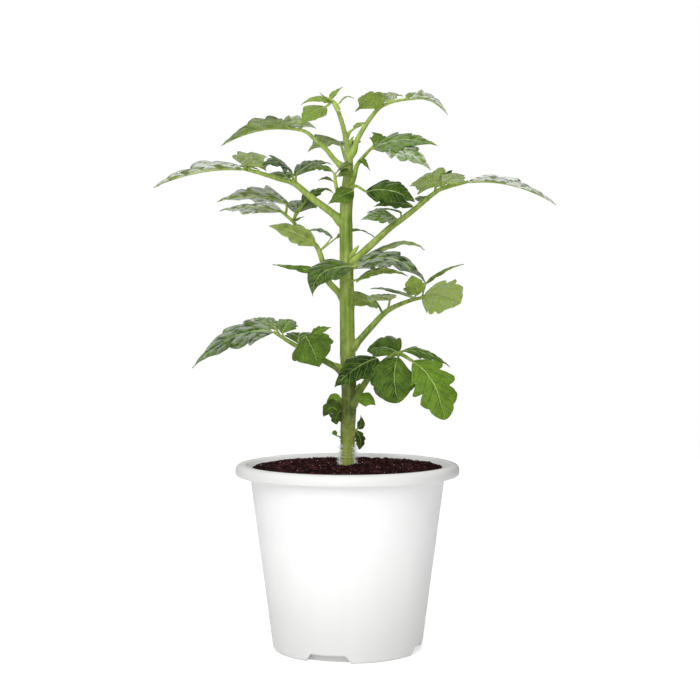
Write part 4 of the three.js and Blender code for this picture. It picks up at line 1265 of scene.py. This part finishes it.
# A leaf's stalk, in steps between two of its places, sides of its tube and hairs on a metre. It
# is half as thick again where it leaves the stem, 4.5 mm from the stem's axis, and that fades
# over 3.5 mm. It thins faster near its end, and its ribs are shares of its radius.
STALK_STEPS = 8
STALK_SIDES = 16
STALK_HAIRS = 2600
STALK_HAIR_SHARE = 0.75
STALK_SPREAD = 0.5
SPREAD_FROM = 4.5
SPREAD_FADE = 3.5
STALK_THINNING = 1.4
STALK_RIBS = [(5, 0, 0.05), (2, 0.7, 0.05)]
BARE_STALK_FOOT = 4 * MM
# A leaflet's own short stalk, where the leaflet starts away from the end of the leaf's stalk. It
# leaves that stalk a twentieth of its length below the nearest place, and not in its first eighth.
AT_END = 0.5 * MM
LEAVES_BELOW = 20
LEAVES_PAST = 8
SHORT_STEPS = 10
SHORT_SIDES = 8
SHORT_RADII = (0.9 * MM, 0.6 * MM)
SHORT_TAPER = 0.35
SHORT_HAIRS = 2200
SHORT_HAIR_LENGTH = 0.5 * MM
SHORT_HAIR_ROOT = 0.9


def stalk_radius(thick, reach):
    """The radius of a leaf's stalk: ribbed, and spread out where it leaves the stem."""

    def radius(far, angle):
        spread = 1 + STALK_SPREAD * math.exp(-((max(0, far / MM - SPREAD_FROM) / SPREAD_FADE) ** 2))
        rib = 1 + sum(depth * math.cos(count * angle + turn) for count, turn, depth in STALK_RIBS)
        return blend(*thick, min(1, far / reach) ** STALK_THINNING) * MM * spread * rib

    return radius


def short_stalk(bm, each, path, rng, youth, stands):
    """The short stalk that joins a leaflet to its leaf's stalk."""
    near = min(range(len(path)), key=lambda i: (path[i] - each["start"]).length)
    near = max(len(path) // LEAVES_PAST, near - len(path) // LEAVES_BELOW)
    inner = quadratic(each["start"], midrib_control(each), each["end"], SHORT_STEPS)[1]
    frames = path_frames(quadratic(each["root"] or path[near], each["start"], inner, SHORT_STEPS))
    size = SHORT_RADII[each["width"] <= LARGE_LEAFLET]
    reach = frames[-1][4]
    tube(bm, frames, lambda far, angle: size * (1 - SHORT_TAPER * far / reach), SHORT_SIDES, 2, youth)
    root = size * SHORT_HAIR_ROOT
    hairs = int(SHORT_HAIRS * reach)
    stands += hairs_on(rng, frames[2:], lambda far, angle: root, hairs, SHORT_HAIR_LENGTH)


def leaf(bm, one, plant, rng, stands):
    """One leaf: its stalk, and each leaflet on its own short stalk."""
    youth = YOUTH.get(one["name"], 0.0)
    foot = stem_axis(one["height"])
    foot.z = one["height"]
    path = smooth_path([foot * MM, *[Vector(place) * MM for place in one["stalk"]]], STALK_STEPS)
    frames = path_frames(path)
    reach = frames[-1][4]
    radius_at = stalk_radius(one["thick"], reach)
    tube(bm, frames, radius_at, STALK_SIDES, 2, youth)
    free = [row for row in frames if row[4] > BARE_STALK_FOOT]
    longest = plant.hair_length * STALK_HAIR_SHARE
    stands += hairs_on(rng, free, radius_at, int(STALK_HAIRS * reach), longest)
    for each in one["leaflets"]:
        blade(bm, each, plant, rng, youth)
        if (each["start"] - path[-1]).length >= AT_END:
            short_stalk(bm, each, path, rng, youth, stands)


# How far the green's patches mottle each side of a blade, how far its veins are raised, and how
# much of the down, with its painted sheen, hides it. The underside's darkest green is this share of its
# colour.
UPPER_MOTTLING = 0.8
UPPER_VEINS = -1.5
UPPER_DOWN_SHEEN = 0.9
UNDER_MOTTLING = 1.5
UNDER_VEINS = 1.6
UNDER_DOWN_SHEEN = 0.95
UNDER_SHADE = 0.42
# The heights between which stalks change from low to high.
STALK_CHANGE = (150 * MM, 250 * MM)
STALK_HAIR_THICKNESS = 0.07 * MM


class MESH_OT_tomato_leaves(bpy.types.Operator):
    """Builds each compound leaf with its stalk, leaflets and veins, and the hair of the stalks"""

    bl_idname = "mesh.tomato_leaves"
    bl_label = "Leaves"
    bl_options = {"REGISTER", "UNDO"}

    def execute(self, context):
        plant = context.scene.tomato.plant
        shade = [value * UNDER_SHADE for value in plant.under]
        upper = blade_material(
            "tomato blade upper side",
            plant.deep, plant.fresh, UPPER_MOTTLING, plant.upper_vein, UPPER_VEINS, plant, UPPER_DOWN_SHEEN,
        )
        under = blade_material(
            "tomato blade underside",
            shade, plant.under, UNDER_MOTTLING, plant.under_vein, UNDER_VEINS, plant, UNDER_DOWN_SHEEN,
        )
        skin = stalk_material("tomato leaf stalk", plant.low_stalk, plant.high_stalk, *STALK_CHANGE, plant)
        stands = []
        for i, one in enumerate(LEAVES):
            rng = random.Random(SEED + i)
            bm = leaf_bmesh()
            leaf(bm, one, plant, rng, stands)
            finish_piece(bm, one["name"] + "_grown", [upper, under, skin], "foliage", one["name"])
        down = hair_material("stalk hair", plant.down)
        hair_piece(stands, "stalk_hairs", STALK_HAIR_THICKNESS, down, "foliage")
        return {"FINISHED"}


# The stem's form in millimetres. It swells at its lower nodes, and has ridges: how high, how many
# round it, and how far they turn in a millimetre.
NODE_SWELLING = 0.2
NODE_REACH = 5
SWOLLEN_NODES = 10
STEM_RIDGES = [(0.17, 5, 0.02), (0.13, 3, -0.03)]
# Ring scars round 119 mm: how deep, how close, and how far up and down they reach.
RING_DEPTH = 0.16
RING_TURN = 2.4
RING_HEIGHT = 119
RING_REACH = 4
# Lumps of the skin: how high, how many across the stem, and how much longer they are up it.
LUMP = 0.16
LUMPS_ACROSS = 2.2
LUMP_STRETCH = 0.12
STEM_STEPS = 24
STEM_SIDES = 48
# A bud in steps and sides. It starts a quarter of the way round its bulge, and is a little young.
BUD_STEPS = 10
BUD_SIDES = 14
BUD_START = 0.25
BUD_ROUNDNESS = 0.8
BUD_YOUTH = 0.3
# The change from old to full skin, where the old skin's darker green is partly painted shade under the
# lower leaves, and the hairs' foot, which is the soil's surface.
SKIN_CHANGE = (155 * MM, 200 * MM)
SOIL_AT_STEM = 114.6 * MM
STEM_HAIR_THICKNESS = 0.1 * MM
# Root nubs low on the stem, and root fuzz close to the soil, which is left off the stem's middle
# as seen from the front: how many, how high up, how long and how thick.
NUBS = 90
NUBS_TO = 150 * MM
NUB_LENGTH = 1.2 * MM
NUB_THICKNESS = 1.1 * MM
FUZZ = 560
FUZZ_TO = 127 * MM
FUZZ_LENGTH = 3.4 * MM
FUZZ_THICKNESS = 0.3 * MM
FUZZ_ASIDE = 2.6 * MM


def skin_radius(far, angle):
    """The stem's radius this far up from its buried end: ridged, lumpy, and swollen at its nodes."""
    height = STEM[0][0][2] + far / MM
    nodes = [one["height"] for one in LEAVES[:SWOLLEN_NODES]]
    swelling = sum(NODE_SWELLING * math.exp(-(((height - node) / NODE_REACH) ** 2)) for node in nodes)
    ridge = sum(depth * math.cos(count * angle + height * turn) for depth, count, turn in STEM_RIDGES)
    near_rings = math.exp(-(((height - RING_HEIGHT) / RING_REACH) ** 2))
    ring = RING_DEPTH * math.sin(height * RING_TURN + math.cos(angle)) * near_rings
    spot = Vector((math.cos(angle), math.sin(angle), height * LUMP_STRETCH)) * LUMPS_ACROSS
    return (stem_radius(height) + swelling + ridge + ring + LUMP * noise.noise(spot)) * MM


def stem_bud(bm, start, end, size):
    """A plump bud from start to end, in millimetres."""
    shares = [step / BUD_STEPS for step in range(BUD_STEPS + 1)]
    frames = path_frames([Vector(start).lerp(Vector(end), share) * MM for share in shares])
    reach = frames[-1][4]

    def radius_at(far, angle):
        bulge = math.sin(math.pi * (BUD_START + (1 - BUD_START) * far / reach))
        return size * MM * bulge**BUD_ROUNDNESS

    tube(bm, frames, radius_at, BUD_SIDES, 0, BUD_YOUTH)


class MESH_OT_tomato_stem(bpy.types.Operator):
    """Builds the main stem with its ridges, nodes, buds, root nubs and hair"""

    bl_idname = "mesh.tomato_stem"
    bl_label = "Stem"
    bl_options = {"REGISTER", "UNDO"}

    def execute(self, context):
        plant = context.scene.tomato.plant
        rng = random.Random(SEED - 1)
        # The old skin low on the stem is darker partly as painted shade under the lower leaves.
        skin = stalk_material("tomato stem skin", plant.shaded_old_stem, plant.bright, *SKIN_CHANGE, plant)
        bm = leaf_bmesh()
        frames = path_frames(smooth_path([Vector(place) * MM for place, _ in STEM], STEM_STEPS))
        tube(bm, frames, skin_radius, STEM_SIDES, 0)
        for bud in STEM_BUDS:
            stem_bud(bm, *bud)
        finish_piece(bm, "main_stem_grown", [skin], "stem_skin", "main_stem")

        free = [row for row in frames if row[0].z > SOIL_AT_STEM]
        low = [row for row in free if row[0].z < NUBS_TO]
        close = [row for row in low if row[0].z < FUZZ_TO]
        clear = hair_material("stem hair", plant.down)
        hairs = hairs_on(rng, free, skin_radius, plant.hairs, plant.hair_length)
        hair_piece(hairs, "stem_hairs", STEM_HAIR_THICKNESS, clear, "stem_skin")
        pale = hair_material("root nub", plant.nub)
        nubs = hairs_on(rng, low, skin_radius, NUBS, NUB_LENGTH)
        hair_piece(nubs, "root_nubs", NUB_THICKNESS, pale, "stem_skin")
        white = hair_material("root fuzz", plant.fuzz, FUZZ_SHADE)
        fuzz = hairs_on(rng, close, skin_radius, FUZZ, FUZZ_LENGTH)
        fuzz = [stand for stand in fuzz if abs(stand.translation.x) > FUZZ_ASIDE]
        hair_piece(fuzz, "root_fuzz", FUZZ_THICKNESS, white, "stem_skin")
        return {"FINISHED"}


# The block of mix in millimetres: its radius at the surface, and the rest of its outline as
# (radius, height), as in the part's source. Then the rows and columns of its surface.
SOIL_RADIUS = 59.2
SOIL_SIDES = [(SOIL_RADIUS, 108), (46.1, 6.3), (38.2, 6.3), (38.2, 2.5), (0, 2.5)]
SOIL_ROWS = 84
SOIL_COLUMNS = 260
# The dome falls from this radius over this breadth.
DOME_RADIUS = 4 * MM
DOME_BREADTH = 55 * MM
# Lumps of the surface, each kind as how many there are in a metre and how high they are in
# millimetres, and mounds that only rise. The ground between them lies a little lower.
SOIL_LUMPS = [(90, 0.55), (700, 0.35), (1500, 0.25)]
MOUNDS_A_METRE = 260
MOUND_HEIGHT = 0.8
GROUND_DROP = 0.2
# Sizes of the grains in the mix, and depths of the pits between them.
MIX_GRAIN = (2.381 * MM, 0.8 * MM)
CRUMB_GRAIN = (3.846 * MM, 0.5 * MM)
FIBRE_GRAIN = (2 * MM, 0.2 * MM)
SAND_GRAIN = (1.111 * MM, 0.1 * MM)
# The share of the mix's surface that the stem takes up.
STEM_AREA = 0.008
# Crumbs reach this far out. Their radii are in millimetres, some are larger, and each is squashed
# to a share of its radius across and down, turned and tilted, and sunk but for a little.
CRUMB_REACH = 58 * MM
CRUMB_RADII = (0.25, 0.85)
LARGE_CRUMBS = 0.05
LARGE_CRUMB = 1.8
CRUMB_BREADTH = (0.4, 1)
CRUMB_DEPTH = (0.3, 0.7)
CRUMB_TILT = 0.4
CRUMB_RISE = 0.15
CRUMB_KNOBS = 1.7
KNOB_HEIGHT = 0.35
CRUMBS_TO_A_RED_ONE = 8
# Fibres: how far out they reach, their length and thickness, how far they bend, and how far the
# ones that bend most to the left are raised in their middle.
FIBRE_REACH = 54 * MM
FIBRE_LENGTHS = (2, 8)
FIBRE_RADIUS = 0.1 * MM
FIBRE_BEND = 1.6
FIBRE_RISE = 0.25 * MM
FIBRE_ARCH = 0.6 * MM
ARCHED_FROM = 0.5
FIBRE_STEPS = 6
FIBRE_SIDES = 4
# Sand grains: one in three lies close to the stem.
SAND_REACH = 57 * MM
SAND_CLOSE = 8 * MM
SAND_TO_A_CLOSE_ONE = 3
SAND_RADII = (0.12, 0.4)
SAND_FLATNESS = 0.7
SAND_RISE = 0.2 * MM


def soil_height(soil, x, y):
    """Height of the mix at a place: domed, lumpy and crumbly."""
    share = 1 - min(1, max(0, (math.hypot(x, y) - DOME_RADIUS) / DOME_BREADTH))
    spot = Vector((x, y, 0))
    lumps = sum(high * noise.noise(spot * count) for count, high in SOIL_LUMPS)
    mounds = MOUND_HEIGHT * abs(noise.noise(spot * MOUNDS_A_METRE))
    rough = (lumps + mounds - GROUND_DROP) * MM
    return soil.edge_height + soil.dome * math.sin(share * math.pi / 2) + rough


def soil_places(rng, count, reach):
    """Random places over the mix, out to this radius, and clear of the stem's middle."""
    places = []
    for _ in range(count):
        radius = reach * math.sqrt(rng.uniform(STEM_AREA, 1))
        angle = rng.uniform(0, math.tau)
        places.append((radius * math.cos(angle), radius * math.sin(angle)))
    return places


def soil_block(soil):
    """The block of mix under its lumpy surface."""
    outline = [(SOIL_RADIUS * row / SOIL_ROWS, None) for row in range(SOIL_ROWS + 1)] + SOIL_SIDES
    rows = len(outline) - 1
    bm = bmesh.new()
    bmesh.ops.create_grid(bm, x_segments=rows, y_segments=SOIL_COLUMNS, size=0.5)
    for vertex in bm.verts:
        radius, height = outline[round((vertex.co.x + 0.5) * rows)]
        angle = math.tau * (round((vertex.co.y + 0.5) * SOIL_COLUMNS) % SOIL_COLUMNS) / SOIL_COLUMNS
        x = radius * MM * math.cos(angle)
        y = radius * MM * math.sin(angle)
        vertex.co = (x, y, soil_height(soil, x, y) if height is None else height * MM)
    bmesh.ops.remove_doubles(bm, verts=bm.verts, dist=SAME_PLACE)
    bmesh.ops.recalc_face_normals(bm, faces=bm.faces)
    peat = mix_material("potting mix", soil.peat, soil.bark, *MIX_GRAIN)
    finish_piece(bm, "potting_mix", [peat], "potting_mix", "soil")


def soil_crumbs(soil, rng):
    """Knobbly crumbs of bark on the mix."""
    crumb = mix_material("bark crumb", soil.peat, soil.bark, *CRUMB_GRAIN)
    red = mix_material("red bark crumb", soil.bark, soil.red_bark, *CRUMB_GRAIN)
    bm = bmesh.new()
    bmesh.ops.create_icosphere(bm, subdivisions=1, radius=1)
    copies = scattered(bm, soil.crumbs)
    stands = []
    for x, y in soil_places(rng, soil.crumbs, CRUMB_REACH):
        size = rng.uniform(*CRUMB_RADII) * MM * (LARGE_CRUMB if rng.random() < LARGE_CRUMBS else 1)
        form = (size, size * rng.uniform(*CRUMB_BREADTH), size * rng.uniform(*CRUMB_DEPTH), 1)
        turn = Matrix.Rotation(rng.uniform(0, math.tau), 4, "Z")
        tilt = Matrix.Rotation(rng.gauss(0, CRUMB_TILT), 4, "X")
        lift = soil_height(soil, x, y) + size * CRUMB_RISE
        stands.append(Matrix.Translation((x, y, lift)) @ turn @ tilt @ Matrix.Diagonal(form))
    for vertex in bm.verts:
        copy = vertex[copies]
        knob = KNOB_HEIGHT * noise.noise(vertex.co * CRUMB_KNOBS + Vector((copy, 0, 0)))
        vertex.co = stands[copy] @ (vertex.co * (1 + knob))
    for face in bm.faces:
        face.material_index = face.verts[0][copies] % CRUMBS_TO_A_RED_ONE == 0
    finish_piece(bm, "soil_crumbs", [crumb, red], "potting_mix")


def soil_fibres(soil, rng):
    """Curved fibres of coir and root that lie on the mix."""
    coir = mix_material("coir fibre", soil.bark, soil.coir, *FIBRE_GRAIN)
    bm = bmesh.new()
    bmesh.ops.create_grid(bm, x_segments=FIBRE_STEPS, y_segments=FIBRE_SIDES, size=0.5)
    copies = scattered(bm, soil.fibres)
    fibres = []
    for x, y in soil_places(rng, soil.fibres, FIBRE_REACH):
        heading = rng.uniform(0, math.tau)
        length = rng.uniform(*FIBRE_LENGTHS) * MM
        bend = rng.uniform(-FIBRE_BEND, FIBRE_BEND)
        fibres.append((x, y, heading, length, bend))
    for vertex in bm.verts:
        x, y, heading, length, bend = fibres[vertex[copies]]
        u = vertex.co.x + 0.5
        angle = math.tau * round((vertex.co.y + 0.5) * FIBRE_SIDES) / FIBRE_SIDES
        way = heading + bend * u
        x += math.cos(way) * length * (u - 0.5)
        y += math.sin(way) * length * (u - 0.5)
        radius = 0 if u in (0.0, 1.0) else FIBRE_RADIUS
        arch = FIBRE_ARCH * math.sin(math.pi * u) if bend > ARCHED_FROM else 0
        middle = Vector((x, y, soil_height(soil, x, y) + FIBRE_RISE + arch))
        out = Vector((-math.sin(way) * math.cos(angle), math.cos(way) * math.cos(angle), math.sin(angle)))
        vertex.co = middle + out * radius
    bmesh.ops.remove_doubles(bm, verts=bm.verts, dist=10 * SAME_PLACE)
    bmesh.ops.recalc_face_normals(bm, faces=bm.faces)
    finish_piece(bm, "soil_fibres", [coir], "potting_mix")


def sand_grains(soil, rng):
    """Pale grains of sand on the mix."""
    grit = mix_material("sand grain", soil.grit, soil.lime, *SAND_GRAIN)
    bm = bmesh.new()
    bmesh.ops.create_icosphere(bm, subdivisions=1, radius=1)
    copies = scattered(bm, soil.grains)
    stands = []
    for i in range(soil.grains):
        reach = SAND_REACH if i % SAND_TO_A_CLOSE_ONE else SAND_CLOSE
        x, y = soil_places(rng, 1, reach)[0]
        size = rng.uniform(*SAND_RADII) * MM
        lift = soil_height(soil, x, y) + size + SAND_RISE
        form = Matrix.Diagonal((size, size, size * SAND_FLATNESS, 1))
        stands.append(Matrix.Translation((x, y, lift)) @ form)
    for vertex in bm.verts:
        vertex.co = stands[vertex[copies]] @ vertex.co
    finish_piece(bm, "sand_grains", [grit], "potting_mix")


class MESH_OT_tomato_soil(bpy.types.Operator):
    """Builds the potting mix with its crumbs, fibres and pale grains"""

    bl_idname = "mesh.tomato_soil"
    bl_label = "Potting mix"
    bl_options = {"REGISTER", "UNDO"}

    def execute(self, context):
        soil = context.scene.tomato.soil
        rng = random.Random(SEED - 2)
        soil_block(soil)
        soil_crumbs(soil, rng)
        soil_fibres(soil, rng)
        sand_grains(soil, rng)
        return {"FINISHED"}


# Drainage arches in the foot of the pot, in metres, as in the part's source.
ARCH_ANGLES = [math.radians(-105 + 90 * i) for i in range(4)]
ARCH_HEIGHT = 4.6 * MM
ARCH_FOOT_HALF = 14 * MM
ARCH_TOP_HALF = 11 * MM
ARCH_INNER_RADIUS = 40.5 * MM
ARCH_REACH = 14 * MM
# The step from the arches' inner wall to the floor inside them is as good as upright.
ARCH_STEP = 0.2 * MM
# Heights in millimetres of the rings of vertices on the wall. They lie closer over the arches.
WALL_RINGS = [1.5, 3, 4.5, 6, 8, 10, 12, 14, 20, 30, 45, 60, 75, 90, 103]
POT_SEGMENTS = 384
# The ring of the foot that the pot stands on ends this far inside the wall, and a small chamfer
# leads up to the wall.
FOOT_RING = 1.5 * MM
CHAMFER_IN = 0.6 * MM
CHAMFER_UP = 0.25 * MM
# From the top of the wall, as (outwards, up): the fillet that leads to the underside of the rim.
LIP_FILLET = [(-0.1 * MM, -0.8 * MM), (0.7 * MM, 0)]
# Radii of the rim's round edges: under it, over it and at its opening.
LIP_EDGE = 1.6 * MM
RIM_EDGE = 3.4 * MM
OPENING_EDGE = 1 * MM
# Below the opening the rim leans in this much at this depth.
LEAN_IN = 0.4 * MM
LEAN_DEPTH = 1.8 * MM
# The corner inside the pot: where the wall ends, and where it meets the floor.
CORNER_TOP = 2.8 * MM
CORNER_BASE = 2 * MM
CORNER_INSET = 1 * MM
FLOOR_HEIGHT = 1.6 * MM
# How the rings round the arches are told apart. The wall's outer skin lies within this share of
# its thickness from outside, and outside this ring. The floor's upper side lies above this
# height, and the ring that the pot stands on below this one.
SKIN_SHARE = 0.7
INNER_RING = ARCH_INNER_RADIUS + 1 * MM
UPPER_SIDE = 1 * MM
FLAT_TO = 0.1 * MM


def arch_height(x, y):
    """How high the foot of the pot is cut away at a place."""
    highest = 0
    for angle in ARCH_ANGLES:
        if x * math.cos(angle) + y * math.sin(angle) > 0:
            aside = abs(y * math.cos(angle) - x * math.sin(angle))
            share = (ARCH_FOOT_HALF - aside) / (ARCH_FOOT_HALF - ARCH_TOP_HALF)
            highest = max(highest, ARCH_HEIGHT * min(1, max(0, share)))
    return highest


def rounded(centre, size, first, last, steps):
    """Places on an arc, as (radius, height), from one angle to another in degrees."""
    angles = [math.radians(blend(first, last, step / steps)) for step in range(steps + 1)]
    return [(centre[0] + size * math.cos(a), centre[1] + size * math.sin(a)) for a in angles]


def wall_radius(pot, height):
    """The outside radius of the pot's wall at a height."""
    return blend(pot.foot_radius, pot.top_radius, height / (pot.height - pot.rim_depth))


def pot_profile(pot):
    """The pot's section as (radius, height), from the middle of its underside over the rim to the
    middle of its floor."""
    lip = pot.height - pot.rim_depth
    rings = [(wall_radius(pot, height * MM), height * MM) for height in WALL_RINGS]
    foot = wall_radius(pot, 0)
    top = wall_radius(pot, lip)
    return [
        (0, 0),
        (ARCH_INNER_RADIUS - ARCH_STEP, 0),
        (ARCH_INNER_RADIUS, 0),
        (foot - FOOT_RING, 0),
        (foot - CHAMFER_IN, CHAMFER_UP),
        *rings,
        *[(top + out, lip + up) for out, up in LIP_FILLET],
        *rounded((pot.rim_radius - LIP_EDGE, lip + LIP_EDGE), LIP_EDGE, -90, -8, 5),
        *rounded((pot.rim_radius - RIM_EDGE, pot.height - RIM_EDGE), RIM_EDGE, 4, 90, 9),
        *rounded((pot.rim_opening + OPENING_EDGE, pot.height - OPENING_EDGE), OPENING_EDGE, 90, 180, 5),
        (pot.rim_opening - LEAN_IN, pot.height - LEAN_DEPTH),
        (top - pot.wall, lip),
        *[(radius - pot.wall, height) for radius, height in rings[:0:-1]],
        (wall_radius(pot, CORNER_TOP) - pot.wall, CORNER_TOP),
        (wall_radius(pot, CORNER_BASE) - pot.wall - CORNER_INSET, FLOOR_HEIGHT),
        (ARCH_INNER_RADIUS - pot.wall, FLOOR_HEIGHT),
        (ARCH_INNER_RADIUS - pot.wall - ARCH_STEP, FLOOR_HEIGHT),
        (0, FLOOR_HEIGHT),
    ]


def cut_arches(bm, pot):
    """Lifts the foot and the floor over the drainage arches, and squeezes the wall above them."""
    for vertex in bm.verts:
        x, y, z = vertex.co
        radius = math.hypot(x, y)
        if z > ARCH_REACH or radius < ARCH_INNER_RADIUS - pot.wall - ARCH_STEP / 2:
            continue
        raised = arch_height(x, y)
        outer = radius > INNER_RING
        if outer and z < ARCH_REACH and radius > wall_radius(pot, z) - SKIN_SHARE * pot.wall:
            lift = raised * (1 - z / ARCH_REACH)
        elif z > UPPER_SIDE:
            lift = max(0, raised + pot.wall - z) if raised else 0
        else:
            lift = raised if radius > ARCH_INNER_RADIUS - ARCH_STEP / 2 else 0
        if outer and z > FLAT_TO:
            grown = (wall_radius(pot, z + lift) - wall_radius(pot, z)) / radius
            vertex.co.x += x * grown
            vertex.co.y += y * grown
        vertex.co.z += lift


class MESH_OT_tomato_pot(bpy.types.Operator):
    """Builds the moulded pot with its rolled rim and the drainage arches in its foot"""

    bl_idname = "mesh.tomato_pot"
    bl_label = "Pot"
    bl_options = {"REGISTER", "UNDO"}

    def execute(self, context):
        pot = context.scene.tomato.pot
        bm = bmesh.new()
        ring = [bm.verts.new((radius, 0, height)) for radius, height in pot_profile(pot)]
        edges = [bm.edges.new(pair) for pair in zip(ring, ring[1:])]
        bmesh.ops.spin(
            bm,
            geom=ring + edges,
            cent=(0, 0, 0),
            axis=(0, 0, 1),
            angle=math.tau,
            steps=POT_SEGMENTS,
            use_merge=True,
        )
        bmesh.ops.remove_doubles(bm, verts=bm.verts, dist=10 * SAME_PLACE)
        bmesh.ops.recalc_face_normals(bm, faces=bm.faces)
        cut_arches(bm, pot)
        lip = pot.height - pot.rim_depth
        white = plastic_material("white polypropylene", pot.plastic, pot.coat, lip, pot.rim_opening)
        finish_piece(bm, "moulded_pot", [white], "pot_plastic", "pot")
        return {"FINISHED"}


# Soft boxes in metres: where each is, what it looks at, how wide it is, and its tone. The key
# lights the whole plant from high in front, the fill the pot, the lift the undersides of the
# leaves, and the back light the floor behind.
LAMPS = {
    "key": ((-0.3, -0.75, 1.25), (0, 0, 0.2), 1.0, (1.0, 0.99, 0.97)),
    "fill": ((-0.08, -0.52, 0.34), (0, 0, 0.08), 0.3, (1, 1, 1)),
    "lift": ((0.1, -0.8, 0.12), (0, 0, 0.36), 0.5, (1, 1, 1)),
    "back": ((0.1, 1.1, 1.3), (0, 0.5, 0), 1.4, (1, 1, 1)),
}
# Where the surround is brightest.
SKY_WAY = (-0.32, -0.72, 0.62)
WHITE = (1, 1, 1, 1)
# How much more the floor glows where the camera sees it, so that it is as white as the surround.
SHOWN_GLOW = 0.05
FLOOR_SEGMENTS = 96
SENSOR_WIDTH = 36


def area_light(name, place, target, size, power, tone):
    """A soft box at a place, turned to a target."""
    light = bpy.data.lights.new(name, "AREA")
    light.shape = "SQUARE"
    light.size = size
    light.energy = power
    light.color = tone
    lamp = bpy.data.objects.new(name, light)
    lamp.visible_camera = False
    lamp.location = place
    lamp.rotation_euler = (Vector(target) - Vector(place)).to_track_quat("-Z", "Y").to_euler()
    bpy.context.scene.collection.objects.link(lamp)


def pale_floor(stage):
    """A round white floor that glows a little."""
    bm = bmesh.new()
    bmesh.ops.create_circle(bm, cap_ends=True, segments=FLOOR_SEGMENTS, radius=stage.floor_radius)
    mesh = bpy.data.meshes.new("floor")
    bm.to_mesh(mesh)
    bm.free()
    material, tree = new_material("matt white floor")
    # Only part of the floor's light is thrown back at the pot, as from a small table.
    shown = add_node(tree, "LightPath")["Is Camera Ray"]
    white = [stage.bounce * value for value in stage.floor]
    shade = add_node(tree, "Mix", COLOUR, {0: shown, 6: rgba(white), 7: rgba(stage.floor)})[2]
    glow = add_node(tree, "Math", TIMES_PLUS, {0: shown, 1: SHOWN_GLOW, 2: stage.glow})[0]
    finish_material(
        tree,
        {
            "Base Color": shade,
            "Roughness": 0.9,
            "Specular IOR Level": 0.1,
            "Emission Color": shade,
            "Emission Strength": glow,
        },
    )
    mesh.materials.append(material)
    floor = bpy.data.objects.new("floor", mesh)
    bpy.context.scene.collection.objects.link(floor)


def white_surround(stage):
    """A surround that is shown as plain white, and lights more from above and in front."""
    world = bpy.data.worlds.new("white surround")
    world.use_nodes = True
    tree = world.node_tree
    tree.nodes.clear()
    shown = add_node(tree, "LightPath")["Is Camera Ray"]
    seen = add_node(tree, "Background", None, {"Color": WHITE, "Strength": 1.0})[0]
    way = add_node(tree, "TexCoord")["Generated"]
    dot = {"operation": "DOT_PRODUCT"}
    towards = add_node(tree, "VectorMath", dot, {0: way, 1: SKY_WAY})["Value"]
    strong = add_node(tree, "Math", TIMES_PLUS, {0: towards, 1: stage.slope, 2: stage.sky})[0]
    lit = add_node(tree, "Background", None, {"Color": WHITE, "Strength": strong})[0]
    both = add_node(tree, "MixShader", None, {0: shown, 1: lit, 2: seen})[0]
    add_node(tree, "OutputWorld", None, {"Surface": both})
    bpy.context.scene.world = world


class MESH_OT_tomato_stage(bpy.types.Operator):
    """Sets the pale floor, the soft studio light and the camera"""

    bl_idname = "mesh.tomato_stage"
    bl_label = "Stage"
    bl_options = {"REGISTER", "UNDO"}

    def execute(self, context):
        stage = context.scene.tomato.stage
        pale_floor(stage)
        white_surround(stage)
        for name, (place, target, size, tone) in LAMPS.items():
            area_light(name, place, target, size, getattr(stage, name + "_power"), tone)
        camera = bpy.data.cameras.new("camera")
        camera.sensor_width = SENSOR_WIDTH
        camera.lens = stage.lens
        seat = bpy.data.objects.new("camera", camera)
        seat.location = (stage.offset, -stage.distance, stage.eye_height)
        seat.rotation_euler = (math.pi / 2 - stage.pitch, 0, 0)
        context.scene.collection.objects.link(seat)
        context.scene.camera = seat
        context.scene.view_settings.view_transform = "Standard"
        return {"FINISHED"}


class VIEW3D_PT_tomato(bpy.types.Panel):
    """Sizes and colours of the plant, and a button for each group of pieces"""

    bl_label = "Potted tomato plant"
    bl_space_type = "VIEW_3D"
    bl_region_type = "UI"
    bl_category = "Tomato"

    def draw(self, context):
        settings = context.scene.tomato
        for label, group, operator in (
            ("Stage", settings.stage, "mesh.tomato_stage"),
            ("Pot", settings.pot, "mesh.tomato_pot"),
            ("Potting mix", settings.soil, "mesh.tomato_soil"),
            ("Stem", None, "mesh.tomato_stem"),
            ("Leaves", settings.plant, "mesh.tomato_leaves"),
        ):
            box = self.layout.box()
            box.label(text=label)
            for name in group.__annotations__ if group else ():
                box.prop(group, name)
            box.operator(operator)


CLASSES = (
    PotSettings,
    SoilSettings,
    PlantSettings,
    StageSettings,
    TomatoSettings,
    MESH_OT_tomato_stage,
    MESH_OT_tomato_pot,
    MESH_OT_tomato_soil,
    MESH_OT_tomato_stem,
    MESH_OT_tomato_leaves,
    VIEW3D_PT_tomato,
)


def register():
    for each in CLASSES:
        bpy.utils.register_class(each)
    bpy.types.Scene.tomato = PointerProperty(type=TomatoSettings)


def unregister():
    del bpy.types.Scene.tomato
    for each in reversed(CLASSES):
        bpy.utils.unregister_class(each)


def main():
    register()
    bpy.ops.mesh.tomato_stage()
    bpy.ops.mesh.tomato_pot()
    bpy.ops.mesh.tomato_soil()
    bpy.ops.mesh.tomato_stem()
    bpy.ops.mesh.tomato_leaves()


if __name__ == "__main__":
    main()
